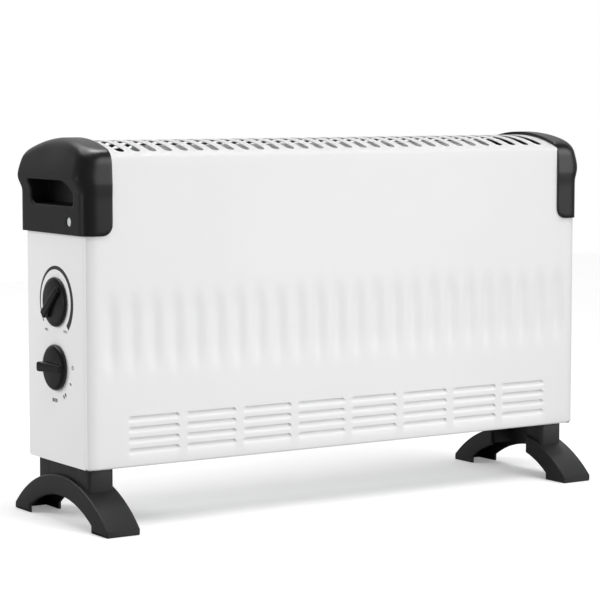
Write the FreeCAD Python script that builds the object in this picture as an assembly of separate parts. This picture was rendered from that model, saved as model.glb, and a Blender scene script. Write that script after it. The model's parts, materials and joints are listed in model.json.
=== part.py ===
"""Convector heater: folded steel casing on two arched feet, with its elements, controls and wiring.

Millimetres. X runs along the casing with the control side at -X, Y runs front (-) to rear (+),
Z is up from the floor. The origin is on the floor at the middle of the overall box.
"""
import FreeCAD
import Part
import math
import os
from FreeCAD import Vector

# Casing sheet
body_length = 606.0
body_depth = 135.0
wall_height = 305.0
ground_gap = 61.0
sheet = 0.8
corner_r = 8.5
fold_r = 3.0
bottom_r = 2.5
crown_rise = 13.5
seam_gap = 0.2
joggle_lap = 10.0
rear_lip = 12.0
bottom_flange = 27.0
side_top_height = 247.0

# Top grille
slot_edge = 43.0
slot_pitch = 17.9
slot_width = 9.0
slot_margin = 9.5

# Pressed flutes across the front wall
flute_edge = 24.5
flute_pitch = 24.2
flute_width = 14.0
flute_depth = 1.5
flute_low = 88.0
flute_high = 178.0
flute_taper = 12.0

# Louvres low on the front and rear walls
louvre_edge = 71.5
louvre_rows = 4
louvre_pitch = 66.0
louvre_step = 10.6
louvre_first = 17.4
louvre_length = 56.5
louvre_drop = 6.0
louvre_depth = 3.0

# End caps
cap_overlap = 19.0
cap_flange = 26.5
cap_wall = 2.6
cap_side_wall = 3.6
cap_reach = 8.5
cap_top_wall = 3.4
cap_bulge_height = 283.0
cap_neck_height = 270.0
cap_lip_share = 0.7
cap_corner_r = 9.0
cap_skin = 2.4
cap_lap = 8.0
cap_flange_r = 11.0
cap_clearance = 0.15
grip_half = 44.0
grip_low = 256.5
grip_high = 280.5
grip_depth = 17.0
grip_top_r = 14.0
grip_low_r = 4.0
grip_wall = 2.4

# Feet
foot_half_depth = 99.5
toe_length = 33.0
toe_height = 6.6
arch_top = 48.0
arch_under = 26.0
arch_spring = 7.2
neck_half_depth = 54.0
neck_inset = 6.0
neck_width = 28.2
neck_edge_r = 3.7
leg_flare = 3.8
band_inset = 1.0
foot_wall = 5.0
leg_clear = 29.0
foot_screw_y = 46.0
foot_screw_seat = 8.0

# Screws
screw_r = 1.9
screw_head_r = 3.8
screw_head = 2.2
screw_gap = 0.05
cap_screw_y = 35.0
cap_screw_drop = 6.3
cap_screw_head_r = 4.5
cap_screw_sink = 0.4
cap_screw_head = 1.6
cap_screw_slot = 1.0

# Controls on the left side panel
thermostat_height = 160.0
selector_height = 95.0
shaft_r = 3.0
shaft_gap = 0.05
bushing_r = 4.6
bushing_reach = 3.4
nut_across = 14.0
nut_height = 2.2
switch_half = 15.5
switch_length = 23.0
switch_wall = 6.0
rotor_r = 9.0
rotor_height = 3.0
rotor_gap = 0.3
cover_height = 2.0
tab_length = 8.0
tab_width = 6.3
tab_thick = 0.8
tab_offset = 7.5
bimetal_thick = 0.6
thermostat_rest = -45.0

# Knobs
knob_r = 23.0
knob_face_r = 18.5
knob_gap = 1.0
knob_skirt = 2.4
knob_dome = 6.8
knob_reach = 14.0
knob_hollow = 3.0
knob_hollow_r = 18.0
grip_bar_half = 19.5
grip_bar_wide = 9.2
grip_bar_slim = 5.0
grip_bar_tail = 7.6
pointer_width = 1.4
pointer_sink = 0.5
knob_bore_end = 2.6
knob_shaft_gap = 0.02

# Heating chamber
bracket_inset = 89.0
bracket_thick = 1.2
bracket_half_depth = 44.0
bracket_rise = 90.0
bracket_flange = 13.0
stay_half = 14.0
element_y = 24.0
element_rise = 53.0
hub_r = 5.0
fin_length = 24.0
fin_thick = 1.2
pin_r = 3.5
pin_reach = 8.0
insulator_r = 8.0
insulator_collar_r = 11.0
insulator_collar = 4.0
insulator_tail = 4.0
insulator_gap = 0.05
link_thick = 1.2
shield_thick = 0.6
shield_gap = 9.0
shield_rise = 225.0
shield_foot = 8.0
deflector_y = -10.0
deflector_low = 232.0
deflector_gap = 3.0
partition_inset = 66.0
partition_gap = 5.0
partition_rise = 235.0
partition_foot = 9.5
intake_margin = 15.0
intake_pitch = 20.0
intake_width = 8.0
intake_half_length = 34.0
base_edge_gap = 0.3

# Cut-out, terminal block, cord gland and wiring
cutout_r = 9.0
cutout_height = 6.0
cutout_y = 34.0
cutout_rise = 78.0
block_length = 30.0
block_depth = 26.0
block_height = 16.0
block_y = 31.0
block_inset = 33.0
gland_inset = 30.0
gland_height = 42.0
gland_r = 6.5
gland_flange_r = 9.5
gland_flange = 3.0
gland_tail = 9.0
gland_bore_r = 4.2
wire_r = 1.4
wire_bend = 7.0
wire_hole_r = 2.6
wire_touch = 0.1
earth_inset = 55.0
earth_y = 6.0
lead_gap = 10.0

# Derived places
half_l = body_length / 2
half_d = body_depth / 2
base_z = ground_gap
fold_z = base_z + wall_height
crown_r = (half_d ** 2 + crown_rise ** 2) / (2 * crown_rise)
crown_z = fold_z + crown_rise - crown_r
floor_top = base_z + 2 * sheet
side_top = base_z + side_top_height
cap_low = side_top_height - cap_overlap
cap_screw_height = side_top_height - cap_screw_drop
rear_top = fold_z - rear_lip
panel_in = -half_l + sheet
cap_lap_x = half_l - cap_flange + cap_lap
slot_count = int((body_length - 2 * slot_edge) / slot_pitch) + 1
flute_count = int((body_length - 2 * flute_edge) / flute_pitch) + 1
louvre_columns = int((body_length - 2 * louvre_edge) / louvre_pitch) + 1
bracket_half = half_l - bracket_inset
intake_half = bracket_half - bracket_thick / 2 - bracket_flange - intake_margin
partition_x = -half_l + partition_inset
block_x = -half_l + block_inset
gland_x = -half_l + gland_inset
earth_x = -half_l + earth_inset
knob_middle = (knob_reach + grip_bar_tail) / 2
thermostat_z = base_z + thermostat_height
selector_z = base_z + selector_height
element_z = floor_top + element_rise
frame_shift = (max(knob_reach, cap_reach) - cap_reach) / 2
X_AXIS = Vector(1, 0, 0)
Y_AXIS = Vector(0, 1, 0)
Z_AXIS = Vector(0, 0, 1)


def box(x0, x1, y0, y1, z0, z1):
    """Block between two corners."""
    return Part.makeBox(x1 - x0, y1 - y0, z1 - z0, Vector(x0, y0, z0))


def bar(x0, x1, y, half_y, z, half_z):
    """Block along X, centred on a depth and a height."""
    return box(x0, x1, y - half_y, y + half_y, z - half_z, z + half_z)


def rod(x, y, z, axis, radius, length):
    """Round bar from a start point along an axis."""
    return Part.makeCylinder(radius, length, Vector(x, y, z), axis)


def line(start, end):
    """Straight edge."""
    return Part.LineSegment(start, end).toShape()


def arc(start, middle, end):
    """Round edge through three points."""
    return Part.Arc(start, middle, end).toShape()


def face_of(edges):
    """Flat face inside a closed run of edges."""
    return Part.Face(Part.Wire(edges))


def outline_prism(points, direction):
    """Prism of a straight-sided outline."""
    closed = points + [points[0]]
    return Part.Face(Part.makePolygon(closed)).extrude(direction)


def mirrored(shape):
    """The same piece on the other end of the casing."""
    return shape.mirror(Vector(0, 0, 0), X_AXIS)


def upright_edges(shape):
    """Edges that run straight up."""
    return [e for e in shape.Edges if e.BoundBox.XLength < 0.01 and e.BoundBox.YLength < 0.01]


def rounded_block(x0, x1, y0, y1, z0, z1, radius):
    """Block with its four upright edges rounded."""
    block = box(x0, x1, y0, y1, z0, z1)
    return block.makeFillet(radius, upright_edges(block))


def crown_at(y, offset):
    """Height of the crowned top, moved outwards by offset, at depth y."""
    return crown_z + math.sqrt((crown_r + offset) ** 2 - y ** 2)


def casing_solid(inset):
    """Full outer form of the casing, pulled in by inset on every side."""
    half = half_d - inset
    low = base_z + inset
    top = crown_at(half, -inset)
    corners = [Vector(-half_l, y, z) for y, z in ((-half, low), (-half, top), (half, top), (half, low))]
    crest = Vector(-half_l, 0, crown_at(0, -inset))
    section = face_of([line(corners[0], corners[1]), arc(corners[1], crest, corners[2]),
                       line(corners[2], corners[3]), line(corners[3], corners[0])])
    prism = section.extrude(Vector(body_length, 0, 0))
    long_edges = [e for e in prism.Edges if e.BoundBox.XLength > body_length / 2]
    folds = [e for e in long_edges if e.BoundBox.ZMin > base_z + wall_height / 2]
    prism = prism.makeFillet(fold_r - inset, folds)
    hems = [e for e in prism.Edges if e.BoundBox.XLength > body_length / 2 and e.BoundBox.ZMax < low + 0.01]
    prism = prism.makeFillet(bottom_r - inset, hems)
    plan = rounded_block(-half_l + inset, half_l - inset, -half, half, low - 1, crest.z + 1, corner_r - inset)
    return prism.common(plan)


def top_slots():
    """Cutters for the long slots that run over the crown."""
    end = half_d - slot_margin - slot_width / 2
    low = rear_top
    tall = crown_rise + rear_lip + fold_r
    slot = box(-slot_width / 2, slot_width / 2, -end, end, low, low + tall)
    slot = slot.fuse([rod(0, y, low, Z_AXIS, slot_width / 2, tall) for y in (-end, end)])
    first = -(slot_count - 1) / 2 * slot_pitch
    return [slot.translated(Vector(first + i * slot_pitch, 0, 0)) for i in range(slot_count)]


def flute_forms(extra):
    """Barrel forms whose skin, offset by extra, is one pressed flute each."""
    radius = ((flute_width / 2) ** 2 + flute_depth ** 2) / (2 * flute_depth)
    small = radius - flute_depth - flute_depth / 5 + extra
    large = radius + extra
    low = base_z + flute_low
    high = base_z + flute_high
    profile = [Vector(0, 0, low), Vector(small, 0, low), Vector(large, 0, low + flute_taper),
               Vector(large, 0, high - flute_taper), Vector(small, 0, high), Vector(0, 0, high)]
    half_barrel = Part.Face(Part.makePolygon(profile + [profile[0]]))
    barrel = half_barrel.revolve(Vector(0, 0, 0), Z_AXIS, 360)
    axis_y = -half_d - radius + flute_depth
    first = -(flute_count - 1) / 2 * flute_pitch
    return [barrel.translated(Vector(first + i * flute_pitch, axis_y, 0)) for i in range(flute_count)]


def louvre_places():
    """Middle of each louvre's slit on the front wall."""
    first = -(louvre_columns - 1) / 2 * louvre_pitch
    return [Vector(first + c * louvre_pitch, -half_d, base_z + louvre_first + r * louvre_step)
            for c in range(louvre_columns) for r in range(louvre_rows)]


def with_louvres(wall, rear):
    """A wall with every louvre cut and pressed into it."""
    windows = Part.makeCompound([louvre_window().translated(p) for p in louvre_places()])
    scoops = Part.makeCompound([louvre_scoop().translated(p) for p in louvre_places()])
    if rear:
        windows = windows.mirror(Vector(0, 0, 0), Y_AXIS)
        scoops = scoops.mirror(Vector(0, 0, 0), Y_AXIS)
    return wall.cut(windows).fuse(scoops.Solids)


def louvre_window():
    """Cutter for one louvre, slit at the origin."""
    half = louvre_length / 2
    return box(-half, half, -sheet, 1.5 * sheet, -louvre_drop, 0)


def louvre_scoop():
    """Sheet below the slit, pushed inwards, with closed ends."""
    half = louvre_length / 2
    ramp = [Vector(-half, 0, -louvre_drop), Vector(-half, louvre_depth, 0),
            Vector(-half, louvre_depth + sheet, 0), Vector(-half, sheet, -louvre_drop)]
    cheek = [ramp[0], Vector(-half, 0, 0), ramp[2], ramp[3]]
    scoop = outline_prism(ramp, Vector(louvre_length, 0, 0))
    left = outline_prism(cheek, Vector(sheet, 0, 0))
    right = left.translated(Vector(louvre_length - sheet, 0, 0))
    return scoop.fuse([left, right])


def joggles(y_seam, towards):
    """Two strips behind the side panels, joined to a wall's corner bends."""
    root = corner_r / 3
    y0, y1 = sorted((y_seam - towards * root, y_seam + towards * joggle_lap))
    right = box(half_l - 2 * sheet, half_l - sheet, y0, y1, base_z + bottom_r, side_top)
    return [right, mirrored(right)]


def front_shell(casing):
    """Front wall with corner bends, crowned top and rear lip, all one sheet."""
    seam = -half_d + corner_r
    flat_half = half_l - corner_r
    wall = box(-half_l, half_l, -half_d, seam, base_z, side_top)
    brow = box(-cap_lap_x, cap_lap_x, -half_d, seam, side_top, fold_z + crown_rise)
    roof = box(-cap_lap_x, cap_lap_x, seam, half_d, rear_top, fold_z + crown_rise)
    hem = box(-flat_half, flat_half, seam, -half_d + bottom_flange, base_z, base_z + sheet)
    shell = casing.common(wall.fuse([brow, roof, hem]).removeSplitter())
    shell = shell.fuse(joggles(seam, 1))
    shell = shell.fuse(flute_forms(sheet)).cut(box(-half_l, half_l, -body_depth, -half_d, base_z, fold_z))
    shell = shell.cut(flute_forms(0))
    shell = with_louvres(shell, False)
    shell = shell.cut(top_slots())
    shell = shell.cut(rear_screw_holes() + hem_screw_holes())
    return shell.removeSplitter()


def rear_panel(casing):
    """Rear wall with corner bends, louvres, a hem below and a joggle under the shell's rear lip."""
    seam = half_d - corner_r
    flat_half = half_l - corner_r
    wall = box(-half_l, half_l, seam, half_d, base_z, side_top)
    brow = box(-cap_lap_x, cap_lap_x, seam, half_d, side_top, rear_top - seam_gap)
    hem = box(-flat_half, flat_half, half_d - bottom_flange, seam, base_z, base_z + sheet)
    panel = casing.common(wall.fuse([brow, hem]).removeSplitter())
    tuck = box(-cap_lap_x, cap_lap_x, half_d - 2 * sheet, half_d - sheet,
               rear_top - joggle_lap, fold_z - 2 * fold_r)
    panel = with_louvres(panel.fuse(joggles(seam, -1) + [tuck]), True)
    gland_hole = rod(gland_x, 0, base_z + gland_height, Y_AXIS, gland_r + screw_gap, body_depth)
    panel = panel.cut(rear_screw_holes() + hem_screw_holes() + [gland_hole])
    return panel.removeSplitter()


def side_panel_right():
    """Flat side with a return along its bottom edge."""
    edge = half_d - corner_r - seam_gap
    hem_edge = half_d - bottom_flange - seam_gap
    panel = box(half_l - sheet, half_l, -edge, edge, base_z, side_top)
    hem = box(half_l - neck_width - neck_inset, half_l, -hem_edge, hem_edge, base_z, base_z + sheet)
    hole = rod(half_l - 10, -cap_screw_y, base_z + cap_screw_height, X_AXIS, screw_r + screw_gap, 20)
    return panel.fuse(hem).cut(hole).removeSplitter()


def side_panel_left():
    """Control side, with the two bushing holes."""
    holes = [rod(-half_l - 10, 0, z, X_AXIS, bushing_r + screw_gap, 20) for z in (thermostat_z, selector_z)]
    return mirrored(side_panel_right()).cut(holes)


def hem_screw_places():
    """Screws that hold the floor to the front and rear hems."""
    y = half_d - bottom_flange + 2 * screw_head_r
    return [(x, s * y) for x in (-body_length / 4, 0, body_length / 4) for s in (-1, 1)]


def foot_screw_places():
    """Two screws up through each foot."""
    x = half_l - neck_inset - neck_width / 2
    return [(sx * x, sy * foot_screw_y) for sx in (-1, 1) for sy in (-1, 1)]


def hem_screw_holes():
    """Clearance holes for every screw that comes up through a hem."""
    places = hem_screw_places() + foot_screw_places()
    return [rod(x, y, base_z - sheet, Z_AXIS, screw_r + screw_gap, 4 * sheet) for x, y in places]


def rear_screw_places():
    """Screws through the rear lip into the joggle behind it."""
    step = (body_length - 4 * cap_flange) / 4
    return [(i * step, rear_top + rear_lip / 3) for i in (-2, -1, 0, 1, 2)]


def rear_screw_holes():
    """Clearance holes in the lip and the joggle."""
    start = half_d - 4 * sheet
    return [rod(x, start, z, Y_AXIS, screw_r + screw_gap, 8 * sheet) for x, z in rear_screw_places()]


def base_plate():
    """Casing floor resting on the hems, with rows of intake slots."""
    half_x = half_l - 2 * sheet - base_edge_gap
    half_y = half_d - bottom_r - base_edge_gap
    plate = box(-half_x, half_x, -half_y, half_y, base_z + sheet, floor_top)
    count = int(2 * intake_half / intake_pitch)
    first = -(count - 1) / 2 * intake_pitch
    slots = [box(first + i * intake_pitch - intake_width / 2, first + i * intake_pitch + intake_width / 2,
                 -intake_half_length, intake_half_length, base_z, floor_top + 1) for i in range(count)]
    bracket_holes = [rod(x, y, base_z, Z_AXIS, screw_r + screw_gap, 10) for x, y in bracket_screw_places()]
    earth_hole = rod(earth_x, earth_y, base_z, Z_AXIS, screw_r + screw_gap, 10)
    corner = half_d - corner_r - joggle_lap - seam_gap
    notches = [box(sx * half_x - 2 * sheet, sx * half_x + 2 * sheet, min(sy * corner, sy * half_d),
                   max(sy * corner, sy * half_d), base_z, floor_top + 1) for sx in (-1, 1) for sy in (-1, 1)]
    return plate.cut(slots + bracket_holes + [earth_hole] + notches + hem_screw_holes())


def cap_profile_right(inset):
    """End view outline of a cap: straight skirt, hollow neck, rounded lip, long round handle up to the crest.

    The outline is pulled in by inset on its outer side, and runs out past its open sides by as much again.
    """
    inner = half_l - cap_flange - 2 * inset
    skirt = half_l + cap_side_wall - inset
    reach = half_l + cap_reach - inset
    low = base_z + cap_low - 2 * inset
    neck = base_z + cap_neck_height
    bulge = base_z + cap_bulge_height
    crest = crown_at(0, cap_top_wall - inset)
    swell = cap_reach - cap_side_wall
    rise = bulge - neck
    both_r = (rise ** 2 + swell ** 2) / (2 * swell)
    lip_r = cap_lip_share * both_r - inset
    hollow_r = both_r - lip_r
    turn = math.asin(rise / both_r)
    handle_r = min(crest - bulge, reach - half_l + cap_flange)
    lip_x = reach - lip_r
    handle_x = reach - handle_r

    def hollow_at(angle):
        return Vector(skirt + hollow_r * (1 - math.cos(angle)), 0, neck + hollow_r * math.sin(angle))

    def lip_at(angle):
        return Vector(lip_x + lip_r * math.cos(angle), 0, bulge - lip_r * math.sin(angle))

    def handle_at(angle):
        return Vector(handle_x + handle_r * math.cos(angle), 0, crest - handle_r + handle_r * math.sin(angle))

    quarter = math.pi / 2
    round_mid = cap_flange_r * (1 - math.sqrt(0.5))
    foot = Vector(inner + cap_flange_r, 0, low)
    side = Vector(inner, 0, low + cap_flange_r)
    outer = [arc(hollow_at(0), hollow_at(turn / 2), hollow_at(turn)),
             arc(lip_at(turn), lip_at(turn / 2), lip_at(0)),
             arc(handle_at(0), handle_at(quarter / 2), handle_at(quarter))]
    if crest - handle_r > bulge + seam_gap:
        outer.insert(2, line(lip_at(0), handle_at(0)))
    roof = [line(handle_at(quarter), Vector(inner, 0, crest))] if handle_x > inner + seam_gap else []
    end = Vector(inner, 0, crest) if roof else handle_at(quarter)
    return ([line(foot, Vector(skirt, 0, low)), line(Vector(skirt, 0, low), hollow_at(0))] + outer + roof
            + [line(end, side), arc(side, Vector(inner + round_mid, 0, low + round_mid), foot)])


def cap_form(inset):
    """Solid form of the right cap, pulled in by inset."""
    half = half_d + cap_wall - inset
    ends = face_of(cap_profile_right(inset))
    ends.translate(Vector(0, -half, 0))
    slab = ends.extrude(Vector(0, 2 * half, 0))
    rims = [e for e in slab.Edges if e.BoundBox.YLength < 0.01 and e.BoundBox.ZLength > 1
            and e.BoundBox.XMax > half_l + cap_side_wall / 2 - inset]
    slab = slab.makeFillet(cap_corner_r - inset, rims)
    crest = crown_at(0, cap_top_wall - inset)
    edge_top = crown_at(half, cap_top_wall - inset)
    start_x = half_l - cap_flange - 2 * inset - 1
    low = base_z + cap_low - 2 * inset - 1
    corners = [Vector(start_x, -half, low), Vector(start_x, -half, edge_top), Vector(start_x, half, edge_top),
               Vector(start_x, half, low)]
    section = face_of([line(corners[0], corners[1]), arc(corners[1], Vector(start_x, 0, crest), corners[2]),
                       line(corners[2], corners[3]), line(corners[3], corners[0])])
    arch = section.extrude(Vector(half_l + cap_reach + 1 - start_x, 0, 0))
    folds = [e for e in arch.Edges if e.BoundBox.XLength > cap_flange and e.BoundBox.ZMin > low + 1]
    arch = arch.makeFillet(fold_r + cap_wall - inset, folds)
    return slab.common(arch)


def grip_outline(grow):
    """Opening of the hand recess in the plane of the side, moved outwards by grow."""
    half = grip_half + grow
    low = base_z + grip_low - grow
    high = base_z + grip_high + grow
    big = grip_top_r + grow
    small = grip_low_r + grow
    mid = 1 - math.sqrt(0.5)

    def at(y, z):
        return Vector(0, y, z)

    return [line(at(-half + small, low), at(half - small, low)),
            arc(at(half - small, low), at(half - small * mid, low + small * mid), at(half, low + small)),
            line(at(half, low + small), at(half, high - big)),
            arc(at(half, high - big), at(half - big * mid, high - big * mid), at(half - big, high)),
            line(at(half - big, high), at(-half + big, high)),
            arc(at(-half + big, high), at(-half + big * mid, high - big * mid), at(-half, high - big)),
            line(at(-half, high - big), at(-half, low + small)),
            arc(at(-half, low + small), at(-half + small * mid, low + small * mid), at(-half + small, low))]


def grip_form(grow, x0, x1):
    """Solid plug of the hand recess between two X places."""
    face = face_of(grip_outline(grow))
    face.translate(Vector(x0, 0, 0))
    return face.extrude(Vector(x1 - x0, 0, 0))


def end_cap_right():
    """Moulded cap with its hand recess and screw seat."""
    cavity = casing_solid(-cap_clearance).common(cap_form(cap_skin))
    cap = cap_form(0).cut(cavity)
    pocket = grip_form(grip_wall, half_l - grip_depth - grip_wall, half_l + cap_side_wall / 2)
    hollow = grip_form(0, half_l - grip_depth, half_l + 2 * cap_reach)
    cap = cap.fuse(pocket).cut(hollow)
    seat_x = half_l + cap_side_wall - cap_screw_sink - cap_screw_head
    z = base_z + cap_screw_height
    hole = rod(half_l - 5, -cap_screw_y, z, X_AXIS, screw_r + screw_gap, 20)
    seat = rod(seat_x, -cap_screw_y, z, X_AXIS, cap_screw_head_r + 2 * cap_clearance, 20)
    return cap.cut([hole, seat]).removeSplitter()


def cap_screw_right():
    """Pan head screw through the cap into the side panel."""
    seat_x = half_l + cap_side_wall - cap_screw_sink - cap_screw_head
    z = base_z + cap_screw_height
    head = rod(seat_x, -cap_screw_y, z, X_AXIS, cap_screw_head_r, cap_screw_head)
    rim = [e for e in head.Edges if e.BoundBox.XMin > seat_x + cap_screw_head / 2]
    head = head.makeFillet(cap_screw_head / 2, rim[:1])
    shank = rod(half_l - 6 * sheet, -cap_screw_y, z, X_AXIS, screw_r, seat_x - half_l + 6 * sheet)
    slot = bar(seat_x + cap_screw_head / 2, seat_x + 2 * cap_screw_head, -cap_screw_y, cap_screw_slot / 2,
               z, cap_screw_head_r)
    return head.fuse(shank).cut(slot)


def upright_screw(x, y, seat_z, length):
    """Screw that goes up from below, its head under seat_z."""
    head = rod(x, y, seat_z - screw_head, Z_AXIS, screw_head_r, screw_head)
    return head.fuse(rod(x, y, seat_z, Z_AXIS, screw_r, length))


def down_screw(x, y, seat_z, length):
    """Screw that goes down from above, its head on seat_z."""
    head = rod(x, y, seat_z, Z_AXIS, screw_head_r, screw_head)
    return head.fuse(rod(x, y, seat_z - length, Z_AXIS, screw_r, length))


def rear_screws():
    """Row of screws along the rear lip."""
    screws = []
    for x, z in rear_screw_places():
        head = rod(x, half_d, z, Y_AXIS, screw_head_r, screw_head)
        screws.append(head.fuse(rod(x, half_d - 4 * sheet, z, Y_AXIS, screw_r, 4 * sheet)))
    return screws


def foot_right():
    """Arched foot: outer arch band, two legs with an open middle, and the neck under the casing."""
    band_x = half_l - band_inset
    neck_x = half_l - neck_inset
    inner_x = neck_x - neck_width
    toe_x = inner_x - leg_flare
    in_half = foot_half_depth - toe_length

    def at(y, z):
        return Vector(toe_x, y, z)

    under = [line(at(in_half, 0), at(in_half, arch_spring)),
             arc(at(in_half, arch_spring), at(0, arch_under), at(-in_half, arch_spring)),
             line(at(-in_half, arch_spring), at(-in_half, 0))]
    over = [line(at(-in_half, 0), at(-foot_half_depth, 0)),
            line(at(-foot_half_depth, 0), at(-foot_half_depth, toe_height)),
            arc(at(-foot_half_depth, toe_height), at(0, arch_top), at(foot_half_depth, toe_height)),
            line(at(foot_half_depth, toe_height), at(foot_half_depth, 0)),
            line(at(foot_half_depth, 0), at(in_half, 0))]
    arch = face_of(over + under).extrude(Vector(band_x - toe_x, 0, 0))
    opening = face_of(under + [line(at(-in_half, 0), at(in_half, 0))]).extrude(Vector(band_x - toe_x, 0, 0))
    neck = rounded_block(inner_x, neck_x, -neck_half_depth, neck_half_depth, arch_spring, base_z, neck_edge_r)
    middle = box(toe_x - 1, neck_x - foot_wall, -leg_clear, leg_clear, 0, base_z)
    screw_x = neck_x - neck_width / 2
    holes = []
    for y in (-foot_screw_y, foot_screw_y):
        holes.append(rod(screw_x, y, 0, Z_AXIS, screw_r + 4 * screw_gap, base_z))
        holes.append(rod(screw_x, y, 0, Z_AXIS, screw_head_r + 1, base_z - foot_screw_seat))
    return arch.fuse(neck).cut([opening, middle] + holes).removeSplitter()


def above_grip(front, rear, half_width, sink):
    """Space over the sloping top of the grip bar between two distances from the shaft, sunk into it."""
    slope = (knob_reach - grip_bar_tail) / (2 * grip_bar_half)
    corners = []
    for y, rise in ((-front, -sink), (rear, -sink), (rear, 2 * knob_reach), (-front, 2 * knob_reach)):
        corners.append(Vector(-half_l - knob_middle - slope * y - rise, y, -half_width))
    return outline_prism(corners, Vector(0, 0, 2 * half_width))


def knob(axis_z):
    """Round knob with a low dome and a grip bar that slopes down and narrows to point to the front."""
    seat = -half_l - knob_gap
    shoulder = seat - knob_skirt
    face_x = seat - knob_dome + 1
    crown_x = seat - knob_dome
    bend = Vector((shoulder + face_x) / 2 - 0.8, 0, (knob_r + knob_face_r) / 2 + 0.8)
    edges = [line(Vector(seat, 0, 0), Vector(seat, 0, knob_r)),
             line(Vector(seat, 0, knob_r), Vector(shoulder, 0, knob_r)),
             arc(Vector(shoulder, 0, knob_r), bend, Vector(face_x, 0, knob_face_r)),
             line(Vector(face_x, 0, knob_face_r), Vector(crown_x, 0, 0)),
             line(Vector(crown_x, 0, 0), Vector(seat, 0, 0))]
    disc = face_of(edges).revolve(Vector(0, 0, 0), X_AXIS, 360)
    half = grip_bar_half
    tip = -half_l - knob_reach
    plan = [Vector(tip, -half, -grip_bar_slim / 2), Vector(tip, half, -grip_bar_wide / 2),
            Vector(tip, half, grip_bar_wide / 2), Vector(tip, -half, grip_bar_slim / 2)]
    grip = outline_prism(plan, Vector(shoulder - tip, 0, 0))
    tall_edges = [e for e in grip.Edges if e.BoundBox.XLength > 1]
    grip = grip.makeFillet(grip_bar_slim * 0.4, tall_edges)
    solid = disc.fuse(grip.cut(above_grip(half + 1, half + 1, grip_bar_wide, 0)))
    hollow = rod(seat, 0, 0, Vector(-1, 0, 0), knob_hollow_r, knob_hollow)
    bore = rod(seat, 0, 0, Vector(-1, 0, 0), shaft_r + knob_shaft_gap, knob_middle - knob_gap - knob_bore_end)
    pointer = above_grip(half + 1, -half / 3, pointer_width / 2, pointer_sink)
    solid = solid.cut([hollow, bore, pointer])
    return solid.translated(Vector(0, 0, axis_z)).removeSplitter()


def shaft(axis_z):
    """Control shaft with its rotor inside the switch."""
    tip = -half_l - knob_middle + knob_bore_end + knob_shaft_gap
    rotor_x = panel_in + switch_wall + rotor_gap
    spindle = rod(tip, 0, axis_z, X_AXIS, shaft_r, rotor_x - tip)
    return spindle.fuse(rod(rotor_x, 0, axis_z, X_AXIS, rotor_r, rotor_height))


def switch_body(axis_z):
    """Moulded switch block behind the panel, with a threaded bushing through it."""
    block = bar(panel_in, panel_in + switch_length, 0, switch_half, axis_z, switch_half)
    bushing = rod(-half_l - bushing_reach, 0, axis_z, X_AXIS, bushing_r, bushing_reach + sheet)
    bore = rod(-half_l - knob_reach, 0, axis_z, X_AXIS, shaft_r + shaft_gap, 2 * switch_length)
    pocket = rod(panel_in + switch_wall, 0, axis_z, X_AXIS, rotor_r + rotor_gap, switch_length)
    return block.fuse(bushing).cut([bore, pocket]).removeSplitter()


def panel_nut(axis_z):
    """Thin hexagon nut that clamps the bushing to the panel."""
    radius = nut_across / math.sqrt(3)
    ring = [Vector(-half_l - nut_height, radius * math.cos(math.radians(60 * i)),
                   axis_z + radius * math.sin(math.radians(60 * i))) for i in range(6)]
    nut = outline_prism(ring, Vector(nut_height, 0, 0))
    return nut.cut(rod(-half_l - nut_height - 1, 0, axis_z, X_AXIS, bushing_r + screw_gap, nut_height + 2))


def thermostat_bimetal():
    """Bimetal strip across the open back of the thermostat."""
    x = panel_in + switch_length
    return bar(x, x + bimetal_thick, 0, tab_width / 2, thermostat_z, switch_half)


def thermostat_terminals():
    """Two spade tabs below the thermostat."""
    x = panel_in + switch_length / 2
    middle = thermostat_z - switch_half - tab_length / 2
    return [bar(x - tab_width / 2, x + tab_width / 2, y, tab_thick / 2, middle, tab_length / 2)
            for y in (-tab_offset, tab_offset)]


def selector_cover():
    """Cover that closes the back of the selector."""
    x = panel_in + switch_length
    return bar(x, x + cover_height, 0, switch_half, selector_z, switch_half)


def selector_terminals():
    """Spade tabs on the selector's cover, and one on its top."""
    x = panel_in + switch_length + cover_height
    tabs = [bar(x, x + tab_length, y, tab_width / 2, selector_z, tab_thick / 2) for y in (-tab_offset, tab_offset)]
    feed_x = panel_in + switch_length / 2
    middle = selector_z + switch_half + tab_length / 2
    tabs.append(bar(feed_x - tab_width / 2, feed_x + tab_width / 2, -tab_offset, tab_thick / 2,
                    middle, tab_length / 2))
    return tabs


def element_places():
    """Depth of each heating element's axis."""
    return (-element_y, element_y)


def heating_element(y):
    """Finned element with a pin at each end."""
    half = bracket_half - bracket_thick / 2 - insulator_collar
    hub = rod(-half, y, element_z, X_AXIS, hub_r, 2 * half)
    fins = []
    for turn in (45, 135):
        fin = bar(-half, half, y, fin_thick / 2, element_z, fin_length)
        fin.rotate(Vector(0, y, element_z), X_AXIS, turn)
        fins.append(fin)
    reach = bracket_half + bracket_thick / 2 + pin_reach
    pin = rod(-reach, y, element_z, X_AXIS, pin_r, 2 * reach)
    return hub.fuse(fins + [pin]).removeSplitter()


def insulators():
    """Ceramic bush in each bracket hole, its collar against the bracket."""
    bushes = []
    for y in element_places():
        face_x = bracket_half - bracket_thick / 2
        collar = rod(face_x - insulator_collar, y, element_z, X_AXIS, insulator_collar_r, insulator_collar)
        tail = rod(face_x, y, element_z, X_AXIS, insulator_r, bracket_thick + insulator_tail)
        bore = rod(0, y, element_z, X_AXIS, pin_r + insulator_gap, body_length)
        bush = collar.fuse(tail).cut(bore)
        bushes += [bush, mirrored(bush)]
    return bushes


def bracket_screw_places():
    """Two screws in each bracket's flange."""
    x = bracket_half - bracket_thick / 2 - bracket_flange / 2
    y = bracket_half_depth - 2 * screw_head_r
    return [(sx * x, sy * y) for sx in (-1, 1) for sy in (-1, 1)]


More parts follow.
